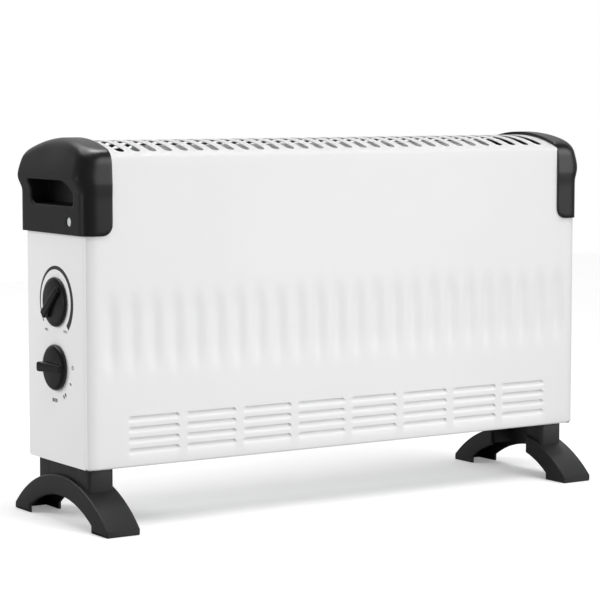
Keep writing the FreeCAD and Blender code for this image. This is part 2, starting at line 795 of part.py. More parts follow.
def element_bracket_right():
    """Upright plate that carries the elements, with a stay up to the deflector."""
    x0 = bracket_half - bracket_thick / 2
    x1 = bracket_half + bracket_thick / 2
    plate = box(x0, x1, -bracket_half_depth, bracket_half_depth, floor_top, floor_top + bracket_rise)
    stay_top = crown_at(stay_half - deflector_y, -sheet) - deflector_gap
    stay = box(x0, x1, deflector_y - stay_half, deflector_y + stay_half, floor_top + bracket_rise, stay_top)
    flange = box(x0 - bracket_flange, x0, -bracket_half_depth, bracket_half_depth,
                 floor_top, floor_top + bracket_thick)
    holes = [rod(0, y, element_z, X_AXIS, insulator_r + insulator_gap, body_length) for y in element_places()]
    holes += [rod(x, y, base_z, Z_AXIS, screw_r + screw_gap, 10) for x, y in bracket_screw_places()]
    return plate.fuse([stay, flange]).cut(holes).removeSplitter()


def element_link():
    """Brass strap round both right-hand pins."""
    x = bracket_half + bracket_thick / 2 + insulator_tail
    half_y = element_y + insulator_r
    strap = box(x, x + link_thick, -half_y, half_y, element_z - insulator_r, element_z + insulator_r)
    holes = [rod(0, y, element_z, X_AXIS, pin_r + insulator_gap, body_length) for y in element_places()]
    return strap.cut(holes)


def air_deflector():
    """Bright sheet under the top grille, carried between the bracket stays."""
    half = bracket_half - bracket_thick / 2
    top = crown_at(stay_half - deflector_y, -sheet) - deflector_gap
    low = base_z + deflector_low
    return bar(-half, half, deflector_y, shield_thick / 2, (low + top) / 2, (top - low) / 2)


def heat_shield(side):
    """Bright sheet inside a wall, with a foot on the floor."""
    half = bracket_half - bracket_thick / 2 - bracket_flange - seam_gap
    y1 = half_d - shield_gap
    wall = box(-half, half, y1 - shield_thick, y1, floor_top, floor_top + shield_rise)
    foot = box(-half, half, y1 - shield_foot, y1, floor_top, floor_top + shield_thick)
    shield = wall.fuse(foot).removeSplitter()
    if side < 0:
        shield = shield.mirror(Vector(0, 0, 0), Y_AXIS)
    return shield


def control_partition():
    """Wall between the controls and the hot chamber, with holes for the wires."""
    half_y = half_d - sheet - partition_gap
    wall = box(partition_x, partition_x + sheet, -half_y, half_y, floor_top, floor_top + partition_rise)
    foot = box(partition_x, partition_x + partition_foot, -half_y / 2, half_y / 2,
               floor_top, floor_top + sheet)
    ways = [(y, element_z) for y in element_places()]
    ways += [(cutout_y, cutout_z() + side * wire_split()) for side in (-1, 1)]
    ways.append((neutral_y(), lead_z()))
    holes = [rod(partition_x - 5, y, z, X_AXIS, wire_hole_r, 15) for y, z in ways]
    return wall.fuse(foot).cut(holes).removeSplitter()


def cutout_z():
    """Height of the cut-out's middle."""
    return floor_top + cutout_rise


def wire_split():
    """Half the distance between the two wires at the cut-out."""
    return cutout_r / 2


def lead_z():
    """Height at which the leads leave the terminal block."""
    return floor_top + block_height / 2


def neutral_y():
    """Depth of the neutral wire's long run."""
    return half_d - shield_gap - shield_foot


def thermal_cutout():
    """Round safety cut-out on the outer face of the left bracket."""
    x = -bracket_half - bracket_thick / 2
    return rod(x - cutout_height, cutout_y, cutout_z(), X_AXIS, cutout_r, cutout_height)


def terminal_block():
    """Moulded block on the floor, with its clamp holes."""
    middle = floor_top + block_height / 2
    block = bar(block_x - block_length / 2, block_x + block_length / 2, block_y, block_depth / 2,
                middle, block_height / 2)
    step = block_depth / 3
    holes = [rod(block_x, block_y + i * step, middle, Z_AXIS, wire_r, block_height) for i in (-1, 0, 1)]
    return block.cut(holes)


def cord_gland():
    """Bushing in the rear wall where the mains lead goes in."""
    z = base_z + gland_height
    flange = rod(gland_x, half_d, z, Y_AXIS, gland_flange_r, gland_flange)
    rim = [e for e in flange.Edges if e.BoundBox.YMin > half_d + gland_flange / 2]
    flange = flange.makeFillet(gland_flange / 3, rim[:1])
    tail = rod(gland_x, half_d - gland_tail, z, Y_AXIS, gland_r, gland_tail)
    bore = rod(gland_x, half_d - 2 * gland_tail, z, Y_AXIS, gland_bore_r, 4 * gland_tail)
    return flange.fuse(tail).cut(bore).removeSplitter()


def wire(points):
    """Insulated wire along straight runs joined by tangent arcs."""
    edges = []
    start = points[0]
    for before, corner, after in zip(points, points[1:], points[2:]):
        into = (before - corner).normalize()
        out = (after - corner).normalize()
        half_angle = into.getAngle(out) / 2
        shorter = min((before - corner).Length, (after - corner).Length)
        cut = min(wire_bend / math.tan(half_angle), 0.45 * shorter)
        radius = cut * math.tan(half_angle)
        first = corner + into * cut
        last = corner + out * cut
        bisector = (into + out).normalize()
        middle = corner + bisector * (radius / math.sin(half_angle) - radius)
        edges += [line(start, first), arc(first, middle, last)]
        start = last
    edges.append(line(start, points[-1]))
    path = Part.Wire(edges)
    section = Part.Wire([Part.Circle(points[0], points[1] - points[0], wire_r).toShape()])
    return path.makePipeShell([section], True, False)


def wires():
    """Every wire inside the casing, by name."""
    block_end = block_x + block_length / 2
    step = block_depth / 3
    lead_x = block_end + lead_gap
    cut_x = -bracket_half - bracket_thick / 2 - cutout_height - wire_touch
    pin_end = bracket_half + bracket_thick / 2 + pin_reach + wire_touch
    tab_x = panel_in + switch_length / 2
    tab_end = panel_in + switch_length + cover_height + tab_length + wire_touch
    thermostat_tab = thermostat_z - switch_half - tab_length - wire_touch
    selector_tab = selector_z + switch_half + tab_length + wire_touch
    turn_x = (tab_end + partition_x) / 2
    right_turn = pin_end + 2 * wire_bend
    low_z = cutout_z() - wire_split()
    high_z = cutout_z() + wire_split()
    loop_z = thermostat_tab - 2 * wire_bend
    earth_end = earth_y + screw_head_r + wire_touch
    earth_z = floor_top + wire_r + wire_touch
    out_x = block_end + wire_touch
    named = {
        "wire_live": [(out_x, block_y, lead_z()), (lead_x, block_y, lead_z()),
                      (lead_x, cutout_y, low_z), (cut_x, cutout_y, low_z)],
        "wire_cutout": [(cut_x, cutout_y, high_z), (turn_x, cutout_y, high_z), (turn_x, cutout_y / 2, loop_z),
                        (tab_x, tab_offset, loop_z), (tab_x, tab_offset, thermostat_tab)],
        "wire_thermostat": [(tab_x, -tab_offset, thermostat_tab), (tab_x, -tab_offset, selector_tab)],
        "wire_neutral": [(out_x, block_y + step, lead_z()), (block_end + lead_gap / 3, block_y + step, lead_z()),
                         (lead_x - lead_gap / 3, neutral_y(), lead_z()), (right_turn, neutral_y(), lead_z()),
                         (right_turn, element_y, element_z), (pin_end, element_y, element_z)],
        "wire_earth": [(out_x, block_y - step, lead_z()), (earth_x, block_y - step, lead_z()),
                       (earth_x, earth_end + 2 * wire_r, earth_z), (earth_x, earth_end, earth_z)],
    }
    for name, side in (("front", -1), ("rear", 1)):
        near = side * tab_offset
        far = side * element_y
        named["wire_element_" + name] = [(tab_end, near, selector_z), (turn_x, near, selector_z),
                                         (turn_x, far, element_z), (-pin_end, far, element_z)]
    return {name: wire([Vector(*point) for point in points]) for name, points in named.items()}


def build():
    """Every piece by node name."""
    casing = casing_solid(0).cut(casing_solid(sheet))
    cap = end_cap_right()
    cap_screw = cap_screw_right()
    foot = foot_right()
    bracket = element_bracket_right()
    dial = knob(0)
    dial.rotate(Vector(0, 0, 0), X_AXIS, thermostat_rest)
    parts = {
        "front_shell": [front_shell(casing)],
        "rear_panel": [rear_panel(casing)],
        "side_panel_left": [side_panel_left()],
        "side_panel_right": [side_panel_right()],
        "base_plate": [base_plate()],
        "end_cap_left": [mirrored(cap)],
        "end_cap_right": [cap],
        "cap_screws": [mirrored(cap_screw), cap_screw],
        "foot_left": [mirrored(foot)],
        "foot_right": [foot],
        "foot_screws": [upright_screw(x, y, base_z - foot_screw_seat, foot_screw_seat + 4 * sheet)
                        for x, y in foot_screw_places()],
        "base_screws": [upright_screw(x, y, base_z, 4 * sheet) for x, y in hem_screw_places()],
        "rear_screws": rear_screws(),
        "control_partition": [control_partition()],
        "element_bracket_left": [mirrored(bracket)],
        "element_bracket_right": [bracket],
        "bracket_screws": [down_screw(x, y, floor_top + bracket_thick, bracket_thick + 2 * sheet)
                           for x, y in bracket_screw_places()],
        "insulators": insulators(),
        "heating_element_front": [heating_element(-element_y)],
        "heating_element_rear": [heating_element(element_y)],
        "element_link": [element_link()],
        "air_deflector": [air_deflector()],
        "heat_shield_front": [heat_shield(-1)],
        "heat_shield_rear": [heat_shield(1)],
        "thermal_cutout": [thermal_cutout()],
        "thermostat_body": [switch_body(thermostat_z)],
        "thermostat_bimetal": [thermostat_bimetal()],
        "thermostat_terminals": thermostat_terminals(),
        "thermostat_nut": [panel_nut(thermostat_z)],
        "thermostat_shaft": [shaft(thermostat_z)],
        "thermostat_knob": [dial.translated(Vector(0, 0, thermostat_z))],
        "selector_body": [switch_body(selector_z)],
        "selector_cover": [selector_cover()],
        "selector_terminals": selector_terminals(),
        "selector_nut": [panel_nut(selector_z)],
        "selector_shaft": [shaft(selector_z)],
        "selector_knob": [knob(selector_z)],
        "terminal_block": [terminal_block()],
        "cord_gland": [cord_gland()],
        "earth_screw": [down_screw(earth_x, earth_y, floor_top, 3 * sheet)],
    }
    parts.update({name: [shape] for name, shape in wires().items()})
    return parts


os.makedirs("parts", exist_ok=True)
for node, solids in build().items():
    shape = solids[0] if len(solids) == 1 else Part.makeCompound(solids)
    shape = shape.translated(Vector(frame_shift, 0, 0))
    shape.exportStep("parts/" + node + ".step")
    print(node, len(shape.Solids), "solids", shape.isValid(), round(shape.Volume), "mm3")
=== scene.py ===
# %% [markdown]
# # A convector heater
# The heater is a white sheet-steel casing that stands on two black arched feet. Black moulded caps
# close both ends and carry the hand recesses. Two knobs sit on the left side panel.
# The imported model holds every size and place, so this lesson starts by loading it and works out
# each new surface from the boxes of the pieces that it dresses.

# %% Load the frame
import json
import math

import bmesh
import bpy
import numpy as np
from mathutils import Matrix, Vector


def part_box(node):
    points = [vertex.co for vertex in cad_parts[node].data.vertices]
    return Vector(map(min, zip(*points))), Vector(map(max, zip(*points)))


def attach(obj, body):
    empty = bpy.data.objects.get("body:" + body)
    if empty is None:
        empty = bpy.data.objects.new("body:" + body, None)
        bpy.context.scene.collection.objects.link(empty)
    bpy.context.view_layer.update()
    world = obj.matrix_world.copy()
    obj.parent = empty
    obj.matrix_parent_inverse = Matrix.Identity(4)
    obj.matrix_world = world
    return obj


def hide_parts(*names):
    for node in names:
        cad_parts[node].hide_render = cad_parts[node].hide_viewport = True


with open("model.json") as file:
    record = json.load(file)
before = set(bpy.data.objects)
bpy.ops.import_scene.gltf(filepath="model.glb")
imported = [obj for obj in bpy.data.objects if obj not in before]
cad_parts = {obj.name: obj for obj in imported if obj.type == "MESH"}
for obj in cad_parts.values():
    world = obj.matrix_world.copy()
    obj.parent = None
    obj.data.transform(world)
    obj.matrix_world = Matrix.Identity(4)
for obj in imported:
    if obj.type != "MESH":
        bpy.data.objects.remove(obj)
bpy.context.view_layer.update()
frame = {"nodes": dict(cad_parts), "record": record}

# %% [markdown]
# ## Casing millimetres
# Sheet metal is drawn in millimetres from the middle of the casing, so the surfaces below are too.
# The frame is in metres, and each mesh is carried into it as it is made. The casing's own sizes come
# from the shell's box, and the sizes of the pressings and mouldings are named where they are first
# used.

# %% Sizes read from the frame
MM = 0.001
shell_low, shell_high = (np.array(corner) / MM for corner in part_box("front_shell"))
middle_x = (shell_low[0] + shell_high[0]) / 2
half_length = (shell_high[0] - shell_low[0]) / 2
half_depth = (shell_high[1] - shell_low[1]) / 2
base_z = shell_low[2]
crest_z = shell_high[2]


def box_of(node):
    """Lowest and highest corner of a node, in casing millimetres."""
    return [np.array(corner) / MM - (middle_x, 0, 0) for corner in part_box(node)]


print("casing", np.round(2 * half_length, 1), "x", np.round(2 * half_depth, 1), "mm")

# %% [markdown]
# ## Grids, profiles and pieces
# Every new piece is a grid of points worked out at once. A grid needs only its list of four-cornered
# faces, and a piece needs a mesh, a finish, the body it moves with and the nodes it stands for.
# Modifiers are applied straight away, so that the finished mesh can have its own sharp edges marked.

# %% Grids and closed surfaces
def ease(t):
    """Smooth step: 0 below 0, 1 above 1, and 3t^2 - 2t^3 between."""
    t = np.clip(t, 0, 1)
    return t * t * (3 - 2 * t)


def grid_faces(rows, columns, ring=False):
    """Four-cornered faces of a grid; a ring also joins the last column to the first."""
    index = np.arange(rows * columns).reshape(rows, columns)
    if ring:
        index = np.hstack([index, index[:, :1]])
    corners = [index[:-1, :-1], index[:-1, 1:], index[1:, 1:], index[1:, :-1]]
    return np.stack(corners, axis=-1).reshape(-1, 4)


def signed_volume(points, faces):
    """Six times the volume inside fans of the faces, positive when they look outwards."""
    total = 0.0
    for face in faces:
        a = points[face[0]]
        b = points[np.asarray(face[1:-1])]
        c = points[np.asarray(face[2:])]
        total += np.sum(np.cross(b, c) @ a)
    return total


def outward(points, faces):
    """The same closed surface, with its faces turned round where they look inwards."""
    if signed_volume(points, faces) < 0:
        faces = [face[::-1] for face in faces]
    return points, faces


def closed_rings(points, count):
    """Rings of count points each, joined one to the next and closed by a flat face at both ends."""
    last = len(points) - count
    faces = grid_faces(len(points) // count, count, ring=True).tolist()
    faces += [list(range(count))[::-1], list(range(last, last + count))]
    return outward(points, faces)


def joined(*parts):
    """One list of points and faces from several closed or open surfaces."""
    points = np.vstack([part[0] for part in parts])
    faces = []
    start = 0
    for part in parts:
        faces += [[corner + start for corner in face] for face in part[1]]
        start += len(part[0])
    return points, faces


def mirrored(part):
    """The same surface on the other end of the casing, with its faces turned the right way."""
    points, faces = part
    return points * (-1, 1, 1), [list(face)[::-1] for face in faces]


print("a grid of 3 x 4 points has", len(grid_faces(3, 4)), "faces")

# %% From points to a finished piece
heater = "heater"
sharp_angle = math.radians(38)
bevel_angle = math.radians(50)
bevel_steps = 2
weld_reach = 0.004


def apply_modifiers(piece):
    """Puts the modifiers' result into the piece's mesh and marks its sharp edges."""
    graph = bpy.context.evaluated_depsgraph_get()
    mesh = bpy.data.meshes.new_from_object(piece.evaluated_get(graph))
    mesh.name = piece.name
    piece.modifiers.clear()
    piece.data = mesh
    mesh.polygons.foreach_set("use_smooth", np.ones(len(mesh.polygons), bool))
    mesh.set_sharp_from_angle(angle=sharp_angle)


def new_object(name, part):
    """A mesh object in the frame from points in casing millimetres."""
    points, faces = part
    placed = (np.asarray(points) + (middle_x, 0, 0)) * MM
    mesh = bpy.data.meshes.new(name)
    mesh.from_pydata(placed, [], [list(face) for face in faces])
    weld = bmesh.new()
    weld.from_mesh(mesh)
    bmesh.ops.remove_doubles(weld, verts=weld.verts, dist=weld_reach * MM)
    weld.to_mesh(mesh)
    weld.free()
    made = bpy.data.objects.new(name, mesh)
    bpy.context.scene.collection.objects.link(made)
    return made


def add_piece(name, part, finish, body=heater, stands_for=(), wall=0.0, bevel=0.0,
              cutter=None, inside=None):
    """A finished piece: mesh, optional wall inwards, cut and bevel, then its finish and body."""
    piece = new_object(name, part)
    piece.data.materials.append(finish)
    if wall:
        solid = piece.modifiers.new("wall", "SOLIDIFY")
        solid.thickness = wall * MM
        solid.offset = -1
        if inside:
            piece.data.materials.append(inside)
            solid.material_offset = 1
    if cutter:
        cut = piece.modifiers.new("cut", "BOOLEAN")
        cut.object = cutter
        cut.solver = "EXACT"
    if bevel:
        edge = piece.modifiers.new("edge", "BEVEL")
        edge.width = bevel * MM
        edge.segments = bevel_steps
        edge.limit_method = "ANGLE"
        edge.angle_limit = bevel_angle
    apply_modifiers(piece)
    if cutter:
        bpy.data.objects.remove(cutter)
    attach(piece, body)
    if stands_for:
        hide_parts(*stands_for)
    print(name, len(piece.data.vertices), "points")


# %% [markdown]
# ## Writing finishes as expressions
# A finish is a small sum: a colour that wanders a little, a roughness that follows a grain, and a
# bump from the same grain. The class below holds one socket, so such sums can be written as sums.
# All patterns read Object coordinates, which stay with the piece from every side and in every pose.

# %% A socket that can be added and multiplied
class Shade:
    """One output socket of a node tree."""

    def __init__(self, tree, socket=None):
        self.tree = tree
        self.socket = socket

    def node(self, kind, settings=None, sockets=None, output=0):
        """A new node of a kind: its settings first, then values or links for its sockets."""
        made = self.tree.nodes.new(kind)
        for key, value in (settings or {}).items():
            setattr(made, key, value)
        for key, value in (sockets or {}).items():
            if isinstance(value, Shade):
                self.tree.links.new(value.socket, made.inputs[key])
            else:
                made.inputs[key].default_value = value
        return Shade(self.tree, made.outputs[output])

    def math(self, operation, first, second):
        """A Math node on two values or sockets."""
        return self.node("ShaderNodeMath", {"operation": operation}, {0: first, 1: second})

    def __add__(self, other):
        return self.math("ADD", self, other)

    def __radd__(self, other):
        return self.math("ADD", other, self)

    def __sub__(self, other):
        return self.math("SUBTRACT", self, other)

    def __rsub__(self, other):
        return self.math("SUBTRACT", other, self)

    def __mul__(self, other):
        return self.math("MULTIPLY", self, other)

    def __rmul__(self, other):
        return self.math("MULTIPLY", other, self)

    def between(self, low, high):
        """A colour that goes from low to high as this value goes from 0 to 1."""
        sockets = {"Factor": self, "A": low, "B": high}
        return self.node("ShaderNodeMix", {"data_type": "RGBA"}, sockets, output="Result")


# %% Colours and the common body of a finish
def grey(level, warm=0.0):
    """A grey written as it looks on screen, 0 to 255, as the linear colour that the shader takes."""
    levels = np.array([level + warm, level, level - warm]) / 255
    linear = np.where(levels <= 0.04045, levels / 12.92, ((levels + 0.055) / 1.055) ** 2.4)
    return (*linear.tolist(), 1.0)


def start_finish(name):
    """An empty material; returns it with its shader and a Shade to build with."""
    material = bpy.data.materials.new(name)
    material.use_nodes = True
    tree = material.node_tree
    tree.nodes.clear()
    shader = tree.nodes.new("ShaderNodeBsdfPrincipled")
    out = tree.nodes.new("ShaderNodeOutputMaterial")
    tree.links.new(shader.outputs[0], out.inputs["Surface"])
    return material, shader, Shade(tree)


def noise(shade, scale, detail=2.0, stretch=(1, 1, 1)):
    """Noise with so many cycles to the metre, stretched along the axes where asked."""
    place = shade.node("ShaderNodeTexCoord", output="Object")
    if stretch != (1, 1, 1):
        place = shade.node("ShaderNodeMapping", sockets={"Vector": place, "Scale": stretch})
    sockets = {"Vector": place, "Scale": scale, "Detail": detail}
    return shade.node("ShaderNodeTexNoise", sockets=sockets)


def feed(shader, shade, colour=None, rough=None, height=None, depth=0.0):
    """Links a colour, a roughness and a bump of a given depth in millimetres to the shader."""
    links = shade.tree.links
    if colour:
        links.new(colour.socket, shader.inputs["Base Color"])
    if rough:
        links.new(rough.socket, shader.inputs["Roughness"])
    if height:
        sockets = {"Height": height, "Distance": depth * MM, "Strength": 1.0}
        links.new(shade.node("ShaderNodeBump", sockets=sockets).socket, shader.inputs["Normal"])


print("a middle grey is", round(grey(128)[0], 3), "in linear light")

# %% [markdown]
# ## Powder-coated white steel
# The casing is sprayed with white powder and baked, which leaves a satin skin with a very fine
# orange peel. A picture of paint would not hold up close, so the peel is a fine noise that lifts the
# surface by about a hundredth of a millimetre, and a slow noise keeps the white from being dead
# flat. The inside faces take a dull dark grey, which keeps what shows through the slots dark.

# %% White paint and the coat inside
def paint_finish():
    """White with a slow drift, and a fine peel that sets both the roughness and the bump."""
    material, shader, shade = start_finish("white_powder_coat")
    peel = noise(shade, scale=900, detail=1.5)
    drift = noise(shade, scale=7)
    colour = drift.between(grey(237), grey(242))
    feed(shader, shade, colour, 0.34 + 0.14 * peel, peel, depth=0.012)
    shader.inputs["Specular IOR Level"].default_value = 0.5
    return material


def dark_inside_finish():
    """A dull dark grey for the inside faces of the casing, which darkens what shows through the slots."""
    material, shader, shade = start_finish("inside_coat")
    cloud = noise(shade, scale=30)
    feed(shader, shade, cloud.between(grey(84), grey(98)), 0.6 + 0.15 * cloud)
    return material


white_paint = paint_finish()
inside_coat = dark_inside_finish()
print("made", white_paint.name, "and", inside_coat.name)

# %% [markdown]
# ## Moulded black plastic
# Caps, feet and knobs are black plastic from spark-eroded moulds, with a fine even grain that breaks
# up the reflection. A fast noise makes the grain, and a slower one lets the gloss drift as it does on
# large mouldings. Each kind comes from a mould of its own: the feet are the greyest and have the
# deepest grain, and the knobs are the darkest and smoothest.

# %% Black plastic
def plastic_finish(name, dark, pale, rough, drifting, grain_depth, specular):
    """Black between two greys; the roughness drifts slowly, and the grain is a fine bump."""
    material, shader, shade = start_finish(name)
    grain = noise(shade, scale=2600)
    drift = noise(shade, scale=22)
    colour = (0.5 * grain + 0.5 * drift).between(grey(dark), grey(pale))
    feed(shader, shade, colour, rough + drifting * drift, grain, grain_depth)
    shader.inputs["Specular IOR Level"].default_value = specular
    return material


cap_plastic = plastic_finish("black_cap_plastic", dark=18, pale=28, rough=0.28, drifting=0.08,
                             grain_depth=0.006, specular=0.40)
foot_plastic = plastic_finish("black_foot_plastic", dark=36, pale=48, rough=0.34, drifting=0.10,
                              grain_depth=0.010, specular=0.45)
knob_plastic = plastic_finish("black_knob_plastic", dark=10, pale=18, rough=0.24, drifting=0.08,
                              grain_depth=0.004, specular=0.50)
print("three black plastics, for caps, feet and knobs")

# %% [markdown]
# ## Metals
# Screws and brackets are zinc plated, which is slightly blue and spangled. The element fins and the
# sheet inside are bright aluminium and steel with rolling lines. The rolling lines are a noise that is
# stretched along one axis, so that it turns into streaks.

# %% Metal finishes
def metal_finish(name, dark, pale, rough, scale, depth, warm=0, stretch=(1, 1, 1), metallic=1.0):
    """Metal between two greys along a noise, which sets the roughness and the bump as well."""
    material, shader, shade = start_finish(name)
    streak = noise(shade, scale, detail=3.0, stretch=stretch)
    colour = streak.between(grey(dark, warm), grey(pale, warm))
    feed(shader, shade, colour, rough + 0.18 * streak, streak, depth)
    shader.inputs["Metallic"].default_value = metallic
    return material


zinc = metal_finish("zinc_plate", dark=226, pale=246, rough=0.34, scale=260, depth=0.006,
                    warm=-2, metallic=0.15)
bright_steel = metal_finish("bright_steel", dark=176, pale=208, rough=0.22, scale=60, depth=0.006,
                            stretch=(1, 30, 30))
bright_sheet = metal_finish("bright_sheet", dark=226, pale=242, rough=0.36, scale=40, depth=0.008,
                            stretch=(1, 24, 24), metallic=0.25)
brass = metal_finish("brass", dark=178, pale=206, rough=0.24, scale=300, depth=0.004, warm=30)
print("four metals, two of them with rolling lines")

# %% [markdown]
# ## Insulators, switch blocks and wires
# Steatite insulators are chalky white with small specks, switch blocks are a warm-white moulding, and
# the wires have a soft matt sleeve. They lie inside the casing and show only through the slots, but
# each still gets a finish of its own, with the same noise helpers.

# %% Inner finishes
sleeve = {"rough": 0.45, "depth": 0.01}


def matt_finish(name, low, high, rough, scale, depth):
    """A matt skin between two colours, with specks that set the roughness and the bump."""
    material, shader, shade = start_finish(name)
    speck = noise(shade, scale, detail=3.0)
    feed(shader, shade, speck.between(low, high), rough + 0.12 * speck, speck, depth)
    return material


def tinted(red, green, blue):
    """A colour written as it looks on screen, 0 to 255."""
    return tuple(grey(level)[0] for level in (red, green, blue)) + (1.0,)


ceramic = matt_finish("steatite", grey(216, 3), grey(236, 3), rough=0.55, scale=900, depth=0.02)
switch_plastic = matt_finish("switch_moulding", grey(196, 5), grey(210, 5), rough=0.40, scale=700,
                             depth=0.01)
wire_finishes = {
    "wire_brown": matt_finish("brown_sleeve", tinted(84, 48, 26), tinted(104, 62, 36), scale=500,
                              **sleeve),
    "wire_blue": matt_finish("blue_sleeve", tinted(24, 60, 140), tinted(36, 78, 164), scale=500,
                             **sleeve),
    "wire_green": matt_finish("earth_sleeve", tinted(96, 140, 30), tinted(170, 176, 40), scale=60,
                              **sleeve),
}
print(len(bpy.data.materials), "materials so far")

# %% [markdown]
# ## The pressed walls
# The front wall is one sheet: its upright edges are bent back round the corners, its foot turns under
# in a hem, and the press has sunk soft upright flutes across its middle and four rows of louvres low
# down. Boxes cut out of a plate would give hard edges, so the wall is a grid whose points sink by a
# depth that depends on where they are. The rear wall is the same pressing without the flutes.

# %% Sheet sizes and the press tools
sheet = 0.8
bottom_r = 2.5
hem = 6.0
wall_seam = crest_z - 21.5
rear_seam = crest_z - 25.7
cap_inner = box_of("end_cap_right")[0][0]
lap_end = cap_inner + 9
lap_z = base_z + 249


def spaced(count, pitch):
    """Places of a row of pressings, evenly spaced about the middle of the casing."""
    return pitch * (np.arange(count) - (count - 1) / 2)


flute_places = spaced(24, pitch=24.2)
flute_half = 11.6
flute_depth = 2.2
flute_low = base_z + 84
flute_length = 96.0
flute_end = 34.0

louvre_places = spaced(8, pitch=66.0)
louvre_rows = base_z + 18.7 + 10.6 * np.arange(4)
louvre_half = 28.25
louvre_drop = 6.4
louvre_rise = 4.0
louvre_sink = 2.4
louvre_flat = 0.9
louvre_end = 2.2
slit = 0.02
print(len(flute_places), "flutes,", len(louvre_places) * len(louvre_rows), "louvres")

# %% Flutes and louvres as depths
row_spare = 0.5
drop_spare = 0.8
far = 1e6


def flute_sink(x, z):
    """Depth of the flutes: a squared cosine across each, with ends rounded off like a spoon."""
    across = np.min(np.abs(x[None, :] - flute_places[:, None]), axis=0) / flute_half
    middle = flute_low + flute_length / 2
    reach = flute_length / 2 - flute_end
    along = np.clip(np.abs(z - middle) - reach, 0, None) / flute_end
    away = np.clip(np.hypot(across[None, :], along[:, None]), 0, 1)
    return flute_depth * np.cos(away * np.pi / 2) ** 2


def louvre_ends(x):
    """How far a column is into a louvre's rounded end, from 0 (straight) to 1 (its tip)."""
    local = np.min(np.abs(x[None, :] - louvre_places[:, None]), axis=0)
    return np.clip((local - (louvre_half - louvre_end)) / louvre_end, 0, 1)


def louvre_press(x, z):
    """Depth and drop of the louvres: full just under the slit, easing out below, ends turned down."""
    offset = z[:, None] - louvre_rows[None, :]
    in_reach = (offset > -louvre_drop - row_spare) & (offset < louvre_rise + row_spare)
    nearest = np.argmin(np.where(in_reach, np.abs(offset), far), axis=1)
    offset = z - louvre_rows[nearest]
    run = np.sqrt(1 - louvre_ends(x) ** 2)
    fade = 1 - ease((-offset - louvre_flat) / (louvre_drop - louvre_flat))
    sink = louvre_sink * np.where(offset < 0, fade, 0)[:, None] * run[None, :]
    limit = np.where(offset < 0, louvre_drop + drop_spare, louvre_rise)
    near = 1 - ease(np.abs(offset) / limit)
    drop = louvre_end * near[:, None] * (1 - run[None, :])
    return sink, drop


deepest = flute_sink(flute_places, np.array([flute_low + flute_length / 2])).max()
print("flutes sink by", np.round(deepest, 2), "mm")

# %% [markdown]
# ### From plan and section to a wall
# Seen from above, the front sheet rolls off softly towards each end and finishes in a tight crease and
# a short flat return beside the side panel. The rear sheet turns further before its crease, so its
# corners look rounder. The wall is this plan times an upright section, and grid lines are closer
# together where the press has worked.

# %% Plan and section of a wall
corner_r = 8.5
crease_r = 1.2
bend_step = 0.06
column_gap = 0.3
row_gap = 0.03
lip_lines = np.array([3.9, 2.0, 0.8, slit, -slit, -0.35, -0.8, -1.4, -2.1, -3.0, -4.0, -5.0,
                      -louvre_drop])


def merged_lines(least, *groups):
    """All grid lines of several groups in order, without those closer together than least."""
    lines = np.sort(np.concatenate([np.ravel(group) for group in groups]))
    return lines[np.concatenate([[True], np.diff(lines) > least])]


def wall_plan(fluted, roll_r, roll_turn):
    """Plan from end to end: straight lines, then a roll up to an angle, a crease and a return.

    Gives the places along and out, the direction of the skin and which lines are straight.
    """
    tips = louvre_half - louvre_end * (1 - np.sin(np.radians([0, 25, 45, 60, 75, 90])))
    edges = (louvre_places[:, None, None] + tips * np.array([[-1], [1]])).ravel()
    steps = louvre_places
    if fluted:
        steps = flute_places[:, None] + flute_half * np.linspace(-1, 1, 11)
    flat = half_length - bend_step - crease_r - (roll_r - crease_r) * math.sin(roll_turn)
    columns = merged_lines(column_gap, edges, steps, np.linspace(-flat, flat, 37),
                           [-lap_end, lap_end])
    turn = np.concatenate([np.linspace(0, roll_turn, 8)[1:],
                           np.linspace(roll_turn, np.pi / 2, 7)[1:], [np.pi / 2]])
    rolled = np.minimum(turn, roll_turn)
    bend_x = flat + roll_r * np.sin(rolled) + crease_r * (np.sin(turn) - np.sin(rolled))
    bend_y = (half_depth - roll_r * (1 - np.cos(rolled))
              - crease_r * (np.cos(rolled) - np.cos(turn)))
    bend_y[-1] = half_depth - corner_r
    x = np.concatenate([-bend_x[::-1], columns, bend_x])
    y = np.concatenate([bend_y[::-1], 0 * columns + half_depth, bend_y])
    angle = np.concatenate([-turn[::-1], 0 * columns, turn])
    return x, y, angle, np.abs(x) < flat


def wall_section(top):
    """Section from the hem round the bottom bend and upwards: how far back each row is, and its height."""
    bowls = np.concatenate([np.linspace(0, flute_end, 9), flute_length / 2 + np.array([-7, 0, 7]),
                            flute_length - np.linspace(flute_end, 0, 9)])
    ends = np.linspace(base_z + bottom_r, top, 14)[[0, 1, -3, -2, -1]]
    rise = merged_lines(row_gap, louvre_rows[:, None] + lip_lines, flute_low + bowls, ends, [lap_z])
    bend = np.linspace(0, np.pi / 2, 6)[:-1]
    inset = np.concatenate([[hem], bottom_r * (1 - np.sin(bend)), 0 * rise])
    z = np.concatenate([[base_z], base_z + bottom_r * (1 - np.cos(bend)), rise])
    return inset, z


print("a wall has", len(wall_section(wall_seam)[1]), "rows from its hem to its seam")

# %% The wall as a grid
opening_depth = 0.5
lap_spare = 0.1


